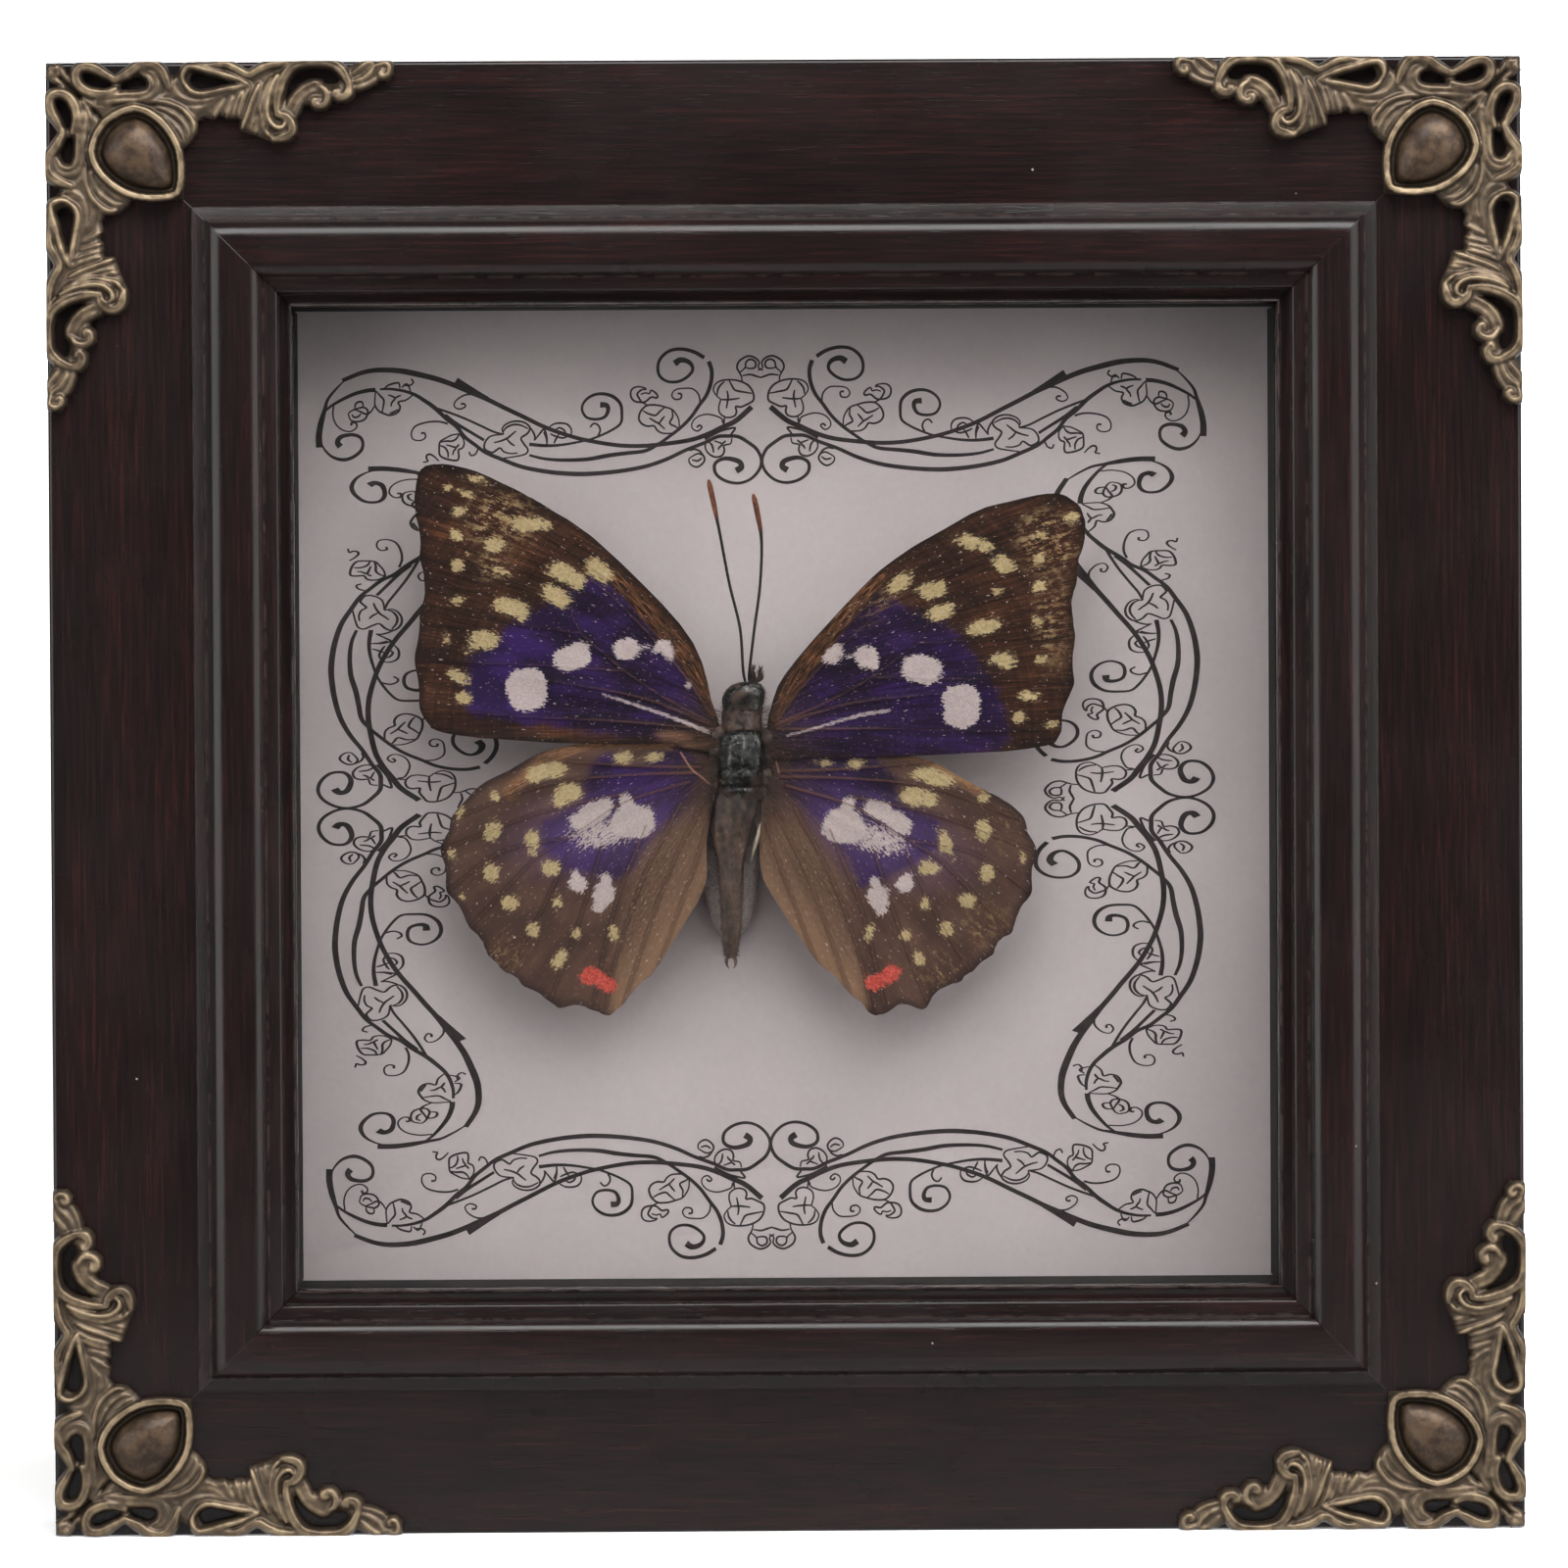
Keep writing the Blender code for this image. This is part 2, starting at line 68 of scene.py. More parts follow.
class Finish:
    """One material, built from nodes. Colours are linear, and lengths in the shader are metres."""

    def __init__(self, name, **settings):
        self.material = bpy.data.materials.new(name)
        self.material.use_nodes = True
        self.tree = self.material.node_tree
        self.shader = self.tree.nodes["Principled BSDF"]
        for socket, value in settings.items():
            self.shader.inputs[socket.replace("_", " ")].default_value = value

    def node(self, kind, inputs=None, **settings):
        made = self.tree.nodes.new("ShaderNode" + kind)
        for key, value in settings.items():
            setattr(made, key, value)
        for key, value in (inputs or {}).items():
            self.put(made.inputs[key], value)
        return made

    def put(self, socket, value):
        """Links a node's output to the socket, or sets a constant on it."""
        if isinstance(value, bpy.types.NodeSocket):
            self.tree.links.new(value, socket)
        elif isinstance(value, tuple) and len(value) == 3 and socket.type == "RGBA":
            socket.default_value = (*value, 1.0)
        else:
            socket.default_value = value

    def set(self, socket, value):
        self.put(self.shader.inputs[socket], value)

    def place(self, scale=(1.0, 1.0, 1.0), attribute=None):
        """Object coordinates, or a vector attribute, scaled."""
        if attribute:
            source = self.attribute(attribute, "Vector")
        else:
            source = self.node("TexCoord").outputs["Object"]
        return self.node("Mapping", {"Vector": source, "Scale": scale}).outputs["Vector"]

    def attribute(self, name, output="Fac"):
        return self.node("Attribute", attribute_name=name).outputs[output]

    def noise(self, vector, scale, detail=4.0, roughness=0.5, distortion=0.0):
        inputs = {"Vector": vector, "Scale": scale, "Detail": detail, "Roughness": roughness}
        return self.node("TexNoise", {**inputs, "Distortion": distortion}).outputs["Fac"]

    def math(self, operation, first, second, clamp=False):
        made = self.node("Math", {0: first, 1: second}, operation=operation, use_clamp=clamp)
        return made.outputs[0]

    def times(self, first, second):
        return self.math("MULTIPLY", first, second)

    def total(self, *terms):
        """The sum of some values, each given with its weight."""
        parts = [self.times(value, weight) for value, weight in terms]
        while len(parts) > 1:
            parts[:2] = [self.math("ADD", *parts[:2])]
        return parts[0]

    def band(self, value, low, high, to_low=0.0, to_high=1.0):
        """The value, eased from to_low at low to to_high at high."""
        inputs = {
            "Value": value, "From Min": low, "From Max": high, "To Min": to_low, "To Max": to_high,
        }
        return self.node("MapRange", inputs, interpolation_type="SMOOTHSTEP").outputs["Result"]

    def cells(self, vector, scale, output="Distance"):
        """Random cells: the distance to the nearest one's middle, or its own random colour."""
        return self.node("TexVoronoi", {"Vector": vector, "Scale": scale}).outputs[output]

    def grey(self, colour):
        return self.node("RGBToBW", {"Color": colour}).outputs["Val"]

    def mix(self, factor, first, second):
        """The first colour, covered by the second as far as the factor says."""
        made = self.node("Mix", data_type="RGBA")
        # The node has sockets for every data type: these are the factor and the two colours.
        for number, value in ((0, factor), (6, first), (7, second)):
            self.put(made.inputs[number], value)
        return made.outputs[2]

    def ramp(self, factor, *stops):
        made = self.node("ValToRGB", {"Fac": factor})
        elements = made.color_ramp.elements
        while len(elements) < len(stops):
            elements.new(0.5)
        for element, (position, colour) in zip(elements, stops):
            element.position = position
            element.color = (*colour, 1.0)
        return made.outputs["Color"]

    def bump(self, height, depth_mm):
        """Relief depth_mm deep where height goes from 0 to 1, on top of any bump already set."""
        made = self.node("Bump", {"Height": height, "Distance": depth_mm * MM, "Strength": 1.0})
        earlier = self.shader.inputs["Normal"].links
        if earlier:
            self.tree.links.new(earlier[0].from_socket, made.inputs["Normal"])
        self.set("Normal", made.outputs["Normal"])


def mesh_piece(name, points, faces, material, slot, replaces=(), smooth=None, **attributes):
    """A piece from points in millimetres, with float or vector attributes per point.

    Edges sharper than smooth degrees stay sharp; without smooth the faces are flat."""
    mesh = bpy.data.meshes.new(name)
    corners = [tuple(map(int, face)) for face in faces]
    mesh.from_pydata((np.asarray(points, float) * MM).tolist(), [], corners)
    for key, values in attributes.items():
        values = np.asarray(values, float)
        if values.ndim == 1:
            mesh.attributes.new(key, "FLOAT", "POINT").data.foreach_set("value", values)
        else:
            vectors = mesh.attributes.new(key, "FLOAT_VECTOR", "POINT")
            vectors.data.foreach_set("vector", values.ravel())
    if smooth is not None:
        mesh.shade_smooth()
        mesh.set_sharp_from_angle(angle=math.radians(smooth))
    mesh.materials.append(material)
    piece = bpy.data.objects.new(name, mesh)
    bpy.context.scene.collection.objects.link(piece)
    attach(piece, "root")
    for node in replaces:
        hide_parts(node)
    return piece


def dress(node, material):
    """Gives a CAD node that is shown as it is its finished material."""
    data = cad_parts[node].data
    data.materials.clear()
    data.materials.append(material)


def turned(degrees):
    """The matrix that turns points about the frame's Y axis."""
    return np.array(Matrix.Rotation(math.radians(degrees), 3, "Y"))


def upright(spots, depth):
    """Points that stand in the frame: the spots give X and Z, and the depth gives Y."""
    return np.stack([spots[:, 0], np.broadcast_to(depth, len(spots)), spots[:, 1]], axis=1)


def ring_quads(index):
    """The quads between rings of points. The index has one row of point numbers for each ring."""
    following = np.roll(index, -1, axis=1)
    quads = np.stack([index[:-1], index[1:], following[1:], following[:-1]], axis=-1)
    return quads.reshape(-1, 4).tolist()


def arc(centre, radii, start, end, steps):
    """Points on a circle or an ellipse, from one angle to another in degrees."""
    rx, ry = radii if isinstance(radii, tuple) else (radii, radii)
    turns = np.radians(np.linspace(start, end, steps + 1))
    return [(centre[0] + rx * math.cos(t), centre[1] + ry * math.sin(t)) for t in turns]


def spline(points, steps=7, closed=False):
    """A smooth line through the points, as Catmull-Rom segments of so many steps each."""
    points = np.asarray(points, float)
    if closed:
        padded = np.vstack([points[-1:], points, points[:2]])
    else:
        padded = np.vstack([2 * points[0] - points[1], points, 2 * points[-1] - points[-2]])
    t = np.linspace(0, 1, steps, endpoint=False)[:, None]
    pieces = []
    for a, b, c, d in zip(padded, padded[1:], padded[2:], padded[3:]):
        pieces.append(b + 0.5 * t * (c - a + t * (2 * a - 5 * b + 4 * c - d + t * (3 * (b - c) + d - a))))
    line = np.concatenate(pieces)
    return line if closed else np.vstack([line, points[-1]])


def line_distance(spots, line):
    """Each spot's distance to the line, and how far along it the nearest point is, from 0 to 1."""
    best = np.full(len(spots), 1e9)
    along = np.zeros(len(spots))
    for i, (a, b) in enumerate(zip(line, line[1:])):
        span = b - a
        t = np.clip((spots - a) @ span / max(span @ span, 1e-12), 0, 1)
        away = np.hypot(*(spots - a - t[:, None] * span).T)
        nearer = away < best
        best[nearer] = away[nearer]
        along[nearer] = (i + t[nearer]) / (len(line) - 1)
    return best, along


def inside_polygon(spots, ring):
    """Which of the spots lie inside a closed outline."""
    x, y = spots.T
    crossings = np.zeros(len(spots), int)
    for (x0, y0), (x1, y1) in zip(ring, np.roll(ring, -1, axis=0)):
        if y0 == y1:
            continue
        spans = (y0 > y) != (y1 > y)
        crossings += spans & (x < x0 + (y - y0) * (x1 - x0) / (y1 - y0))
    return crossings % 2 == 1


def polygon_distance(spots, ring):
    """Distance to a closed outline, negative inside it."""
    ring = np.asarray(ring, float)
    away, _ = line_distance(spots, np.vstack([ring, ring[:1]]))
    return np.where(inside_polygon(spots, ring), -away, away)


def blurred(field, sigma):
    """The field smoothed by a bell curve sigma cells wide."""
    reach = max(1, int(3 * sigma))
    weights = np.exp(-0.5 * (np.arange(-reach, reach + 1) / sigma) ** 2)
    weights /= weights.sum()
    for axis in (0, 1):
        margins = [(reach, reach) if k == axis else (0, 0) for k in (0, 1)]
        padded = np.pad(field, margins, mode="edge")
        cells = np.arange(field.shape[axis])
        field = sum(w * np.take(padded, cells + i, axis=axis) for i, w in enumerate(weights))
    return field


def lumps(points, size, seed):
    """A smooth random height at each point: waves of about the size given, in millimetres."""
    rng = np.random.default_rng(seed)
    total = np.zeros(len(points))
    waves = 14
    for _ in range(waves):
        way = rng.normal(size=3)
        way *= 2 * math.pi / size / np.linalg.norm(way) * rng.uniform(0.6, 1.5)
        total += np.sin(points @ way + rng.uniform(0, 7))
    return total / waves


def cut_sheet(us, vs, footprint, pitch):
    """The grid's cells inside a footprint, with the points at its edge moved on to it.

    It returns the points' places, which grid points they are, and the cells as four corners each."""
    inside = footprint < 0
    cells = inside[:-1, :-1] | inside[1:, :-1] | inside[1:, 1:] | inside[:-1, 1:]
    used = np.zeros_like(inside)
    corners = ((0, 0), (1, 0), (1, 1), (0, 1))
    rows, columns = np.nonzero(cells)
    for di, dj in corners:
        used[rows + di, columns + dj] = True
    slope_u, slope_v = np.gradient(footprint, pitch)
    square = np.maximum(slope_u**2 + slope_v**2, 0.3)
    push = np.where(used & ~inside, np.clip(footprint / square, 0, 1.4 * pitch), 0)
    u = us[:, None] - slope_u * push
    v = vs[None, :] - slope_v * push
    index = np.cumsum(used).reshape(used.shape) - 1
    quads = np.stack([index[rows + di, columns + dj] for di, dj in corners], axis=1)
    return np.stack([u[used], v[used]], axis=1), used, quads


def closed_sheet(front, back, cells):
    """Points and faces of a thin solid: the cells on both sides, and a wall round the rim."""
    count = len(front)
    following = np.roll(cells, -1, axis=1)
    ends = np.concatenate([np.stack([cells[:, k], following[:, k]], axis=1) for k in range(4)])
    twins = set((ends[:, 1] * count + ends[:, 0]).tolist())
    rim = ends[[int(key) not in twins for key in ends[:, 0] * count + ends[:, 1]]]
    wall = np.stack([rim[:, 1], rim[:, 0], rim[:, 0] + count, rim[:, 1] + count], axis=1)
    return np.vstack([front, back]), np.vstack([cells, cells[:, ::-1] + count, wall])


# ---------------------------------------------------------------- stage

STAGE_GREY = (0.92, 0.92, 0.92)
# In metres. A dim floor lies under the frame as far as STAGE_MIDDLE, and a brighter one runs on from
# there to the backdrop.
STAGE_REACH, STAGE_MIDDLE, STAGE_DEEP, STAGE_TALL = 3.0, 0.15, 2.4, 3.0
FLOOR_GLOW, BEYOND_GLOW, BACKDROP_GLOW = 0.25, 0.65, 1.0
# A patch just under the floor that only glossy rays see: the floor as it shines in the frame.
SHEEN_NEAR, SHEEN_WIDE, SHEEN_UNDER, SHEEN_GLOW = 0.3, 0.6, -0.0005, 0.25
WORLD_STRENGTH = 0.05
# Each lamp: name, place, the point it is turned to, size and power.
LAMPS = [
    ("key", (0.15, -0.45, 0.69), (0, 0, 0.09), (0.9, 0.4), 14.5),
    ("left", (-1.0, -0.7, 0.30), (0, 0, 0.1), (1.05, 1.05), 14.5),
    ("right", (1.0, -0.7, 0.35), (0, 0, 0.1), (1.1, 1.1), 13),
]


def build_camera():
    """The photo's view: a long lens from the front, a little left of the middle and above it."""
    camera = bpy.data.objects.new("camera", bpy.data.cameras.new("camera"))
    camera.location = (-0.0195, -1.271, 0.128)
    camera.rotation_euler = [math.radians(turn) for turn in (88.612, 0.306, -0.478)]
    camera.data.lens = 212.97
    camera.data.shift_x = 0.0409
    camera.data.shift_y = 0.0205
    bpy.context.scene.collection.objects.link(camera)
    bpy.context.scene.camera = camera


def area_light(name, at, aim, size, power):
    """A soft lamp, turned to the point aimed at."""
    light = bpy.data.lights.new(name, "AREA")
    light.shape = "RECTANGLE"
    light.size, light.size_y = size
    light.energy = power
    lamp = bpy.data.objects.new(name, light)
    lamp.location = at
    lamp.rotation_euler = (Vector(aim) - Vector(at)).to_track_quat("-Z", "Y").to_euler()
    bpy.context.scene.collection.objects.link(lamp)


def stage_sheet(name, corners, glow):
    """A flat part of the stage, with a glow of its own that keeps it bright."""
    mesh = bpy.data.meshes.new(name)
    mesh.from_pydata(corners, [], [(0, 1, 2, 3)])
    finish = Finish(name, Roughness=0.9)
    finish.set("Base Color", STAGE_GREY)
    finish.set("Emission Color", STAGE_GREY)
    finish.set("Emission Strength", glow)
    mesh.materials.append(finish.material)
    sheet = bpy.data.objects.new(name, mesh)
    bpy.context.scene.collection.objects.link(sheet)
    return sheet


def level_sheet(name, wide, near, far, height, glow):
    corners = [(-wide, near, height), (wide, near, height), (wide, far, height), (-wide, far, height)]
    return stage_sheet(name, corners, glow)


def build_stage():
    scene = bpy.context.scene
    scene.view_settings.view_transform = "Standard"
    world = bpy.data.worlds.new("studio")
    world.use_nodes = True
    background = world.node_tree.nodes["Background"]
    background.inputs["Color"].default_value = (1.0, 1.0, 1.0, 1.0)
    background.inputs["Strength"].default_value = WORLD_STRENGTH
    scene.world = world
    floor = level_sheet("floor", STAGE_REACH, -STAGE_REACH, STAGE_MIDDLE, 0, FLOOR_GLOW)
    floor.visible_glossy = False
    floor.visible_transmission = False
    level_sheet("floor_beyond", STAGE_REACH, STAGE_MIDDLE, STAGE_DEEP, 0, BEYOND_GLOW)
    sheen = level_sheet("floor_sheen", SHEEN_WIDE, -SHEEN_NEAR, 0, SHEEN_UNDER, SHEEN_GLOW)
    sheen.visible_transmission = False
    wall = [(-1, 0), (1, 0), (1, STAGE_TALL), (-1, STAGE_TALL)]
    wall = [(STAGE_REACH * side, STAGE_DEEP, z) for side, z in wall]
    stage_sheet("backdrop", wall, BACKDROP_GLOW)
    for lamp in LAMPS:
        area_light(*lamp)


# ---------------------------------------------------------------- frame rails

# At a mitre a rail stops MITRE_GAP short of the joint. Its end is eased back by EASE_DEPTH over
# EASE_LENGTH, so that the joint shows as a fine line. All in millimetres.
MITRE_GAP = 0.02
EASE_LENGTH = 0.12
EASE_DEPTH = 0.05
RABBET_PLAY = 0.3
# How much of the half rail has plain sections, from its middle towards the mitre.
PLAIN_REACH = 0.97
# How many of the profile's first and last points are on the rear and in the rabbet, where nothing rubs.
REAR_POINTS, RABBET_POINTS = 3, 5


def moulding_profile():
    """The rail's section as (U, Y): U inwards from the outer edge, Y from the rear over the front."""
    front = arc((0.6, -0.6), 0.6, 180, 90, 8)
    front += [(10.0, 0.0), (19.45, 0.0)]
    front += arc((19.6, 0.12), 0.12, 270, 360, 3)
    front += arc((19.84, 0.42), 0.12, 180, 90, 3)
    front += [(21.4, 0.82), (21.55, 1.1)]
    front += arc((24.0, 1.75), (2.4, 2.15), 178, 90, 16)
    front += arc((27.1, 2.45), (2.0, 1.45), 88, 12, 12)
    front += [(29.25, 2.15)]
    front += arc((30.95, 1.45), 0.4, 80, 0, 5)
    front += [(31.35, -0.35), (31.4, -0.45), (31.6, -0.5), (32.7, -0.5)]
    front += arc((33.0, -0.38), 0.2, 200, 20, 5)
    front += [(SIGHT_U, -0.55)]
    profile = [(0.15, REAR_Y), (0.0, REAR_Y - 0.15), (0.0, 0.0)]
    profile += [(u, FACE_Y - height) for u, height in front]
    glass_low, glass_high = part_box("glass_pane")
    rabbet = HALF - glass_high.x / MM - RABBET_PLAY
    seat = glass_low.y / MM - RABBET_PLAY
    return profile + [(SIGHT_U, seat), (rabbet, seat), (rabbet, REAR_Y)]


def wood_material():
    """Near-black mahogany: fine pores and streaks along the rail, a red tint and a satin varnish."""
    wood = Finish("mahogany", Specular_IOR_Level=0.23)
    even = (1.0, 1.0, 1.0)
    fibres = wood.noise(wood.place((1.0, 26.0, 26.0), "grain"), 80.0, 5.0, 0.65, 0.1)
    broad = wood.noise(wood.place((1.0, 9.0, 9.0), "grain"), 24.0, 3.0)
    tone = wood.total((fibres, 0.72), (broad, 0.28))
    colour = wood.ramp(
        tone, (0.34, srgb(12, 8, 8)), (0.47, srgb(17, 10, 10)),
        (0.56, srgb(23, 12, 12)), (0.70, srgb(35, 17, 15)),
    )
    pores = wood.band(wood.noise(wood.place((1.0, 16.0, 16.0), "grain"), 260.0, 2.0), 0.60, 0.70)
    colour = wood.mix(wood.times(pores, 0.7), colour, srgb(7, 5, 5))
    worn = wood.band(wood.attribute("edge"), 0.75, 1.0)
    rubbed = wood.times(worn, wood.band(wood.noise(wood.place(even, "grain"), 420.0), 0.4, 0.62))
    colour = wood.mix(wood.times(rubbed, 0.12), colour, srgb(104, 88, 80))
    dust = wood.band(wood.cells(wood.place(even, "grain"), 190.0), 0.02, 0.04, 1.0, 0.0)
    few = wood.band(wood.noise(wood.place(even, "grain"), 300.0, 1.0), 0.60, 0.66)
    colour = wood.mix(wood.times(wood.times(dust, few), 0.5), colour, srgb(150, 140, 135))
    wood.set("Base Color", colour)
    smear = wood.noise(wood.place(even, "grain"), 45.0, 4.0)
    wood.set("Roughness", wood.band(smear, 0.3, 0.7, 0.22, 0.31))
    wood.bump(fibres, 0.008)
    wood.bump(pores, -0.006)
    return wood.material


def profile_edges(profile):
    """The profile's normals, and how sharply it bends at each point, from 0 to 1."""
    steps = np.diff(np.vstack([profile, profile[:1]]), axis=0)
    turn = steps / np.linalg.norm(steps, axis=1, keepdims=True)
    inward = np.stack([-turn[:, 1], turn[:, 0]], axis=1)
    before = np.roll(inward, 1, axis=0)
    normal = inward + before
    normal /= np.linalg.norm(normal, axis=1, keepdims=True)
    sharp = np.clip((1 - np.einsum("ij,ij->i", inward, before)) * 8, 0, 1)
    sharp[-RABBET_POINTS:] = 0
    sharp[:REAR_POINTS] = 0
    return normal, sharp


def build_rails(material):
    """Four mitred rails. Each joint is a fine V where the two rails' ends are eased."""
    profile = np.array(moulding_profile())
    count = len(profile)
    normal, sharp = profile_edges(profile)
    # Each station: which way along the rail it is, its gap to the joint, and how deep it sinks.
    stations = [(-1, MITRE_GAP, EASE_DEPTH), (-1, EASE_LENGTH, 0.0)]
    stations += [(t, 0.0, 0.0) for t in np.linspace(-PLAIN_REACH, PLAIN_REACH, 25)]
    stations += [(1, EASE_LENGTH, 0.0), (1, MITRE_GAP, EASE_DEPTH)]
    index = np.arange(len(stations) * count).reshape(-1, count)
    faces = [(a, d, c, b) for a, b, c, d in ring_quads(index)]
    faces += [tuple(index[0, ::-1]), tuple(index[-1])]
    for quarter, side in enumerate(SIDES):
        points, grain = [], []
        for t, gap, sink in stations:
            u, y = (profile + normal * sink).T
            x = t * (HALF - u - gap)
            points.append(np.stack([x, y, HALF - u], axis=1))
            # Each rail gets its own part of the wood's pattern.
            grain.append(np.stack([x, u + 7 * quarter, y], axis=1))
        points = np.concatenate(points) @ turned(90 * quarter).T + (0, 0, HALF)
        grain = np.concatenate(grain) * MM + (0.31 * quarter, 0, 0)
        mesh_piece(
            "rail_" + side + "_finish", points, faces, material, "mahogany", ["rail_" + side],
            smooth=28, grain=grain, edge=np.tile(sharp, len(stations)),
        )


# ---------------------------------------------------------------- corner ornaments

# The casting, by U along one arm and V inwards from the other edge, in millimetres. Only one arm is
# listed, because the casting is the same on both sides of its diagonal.
ORNAMENT_EDGE = [
    (0.25, 0.25), (2.0, 0.3), (2.9, 1.5), (3.7, 2.0), (4.0, 0.9), (5.2, 0.1), (6.6, 0.5), (8.4, 1.5),
    (10.3, 1.6),
    (12.3, 0.6), (14.0, -0.1), (15.4, 0.3), (16.4, 1.6), (17.2, 2.0), (18.5, 1.0), (19.6, 0.1), (21.5, 0.2),
    (24.0, -0.05), (26.4, 1.0), (27.6, 1.3), (29.5, 0.4), (32.0, -0.1), (36.0, -0.3), (39.2, 0.0),
    (40.8, 0.9),
    (42.0, 0.3), (44.0, -0.1), (46.4, -0.1), (47.1, 0.9), (46.7, 2.0), (45.6, 2.6), (43.6, 3.6), (41.7, 4.4),
    (40.6, 5.5), (39.2, 5.4), (38.6, 5.9), (37.2, 6.8), (35.9, 6.2), (35.2, 5.8), (34.4, 6.8), (33.9, 8.2),
    (34.0, 9.7), (32.6, 10.8), (30.8, 11.1), (28.6, 10.1), (26.5, 9.4), (26.3, 7.7), (25.2, 7.9), (23.8, 7.4),
    (22.7, 7.9), (21.6, 7.6), (20.6, 8.2), (20.6, 9.8), (19.4, 11.3), (18.7, 11.8),
]
ORNAMENT_HOLES = [
    [(4.9, 1.7), (6.0, 1.6), (7.6, 2.3), (9.0, 3.0), (8.2, 3.6), (6.6, 3.5), (5.3, 2.8)],
    [(10.3, 3.4), (11.0, 2.5), (12.5, 2.1), (13.6, 2.6), (13.7, 3.5), (12.8, 4.2), (11.2, 4.3)],
    [(19.7, 2.6), (20.3, 1.6), (22.0, 1.9), (24.0, 2.4), (26.4, 3.1), (24.0, 3.2), (22.0, 3.8), (20.4, 3.6)],
    [(32.6, 5.6), (32.8, 3.8), (33.6, 2.2), (34.8, 1.2), (36.8, 0.8), (38.8, 1.2), (39.8, 2.5), (38.8, 3.1),
     (36.9, 2.7), (35.2, 3.1), (33.9, 4.2), (33.1, 5.6)],
]
BEZEL = [
    (7.8, 7.8), (9.0, 6.9), (10.5, 6.15), (12.4, 5.8), (14.6, 6.6), (16.8, 8.5), (18.4, 11.2), (18.9, 14.0),
    (18.8, 16.6), (18.2, 18.2),
]
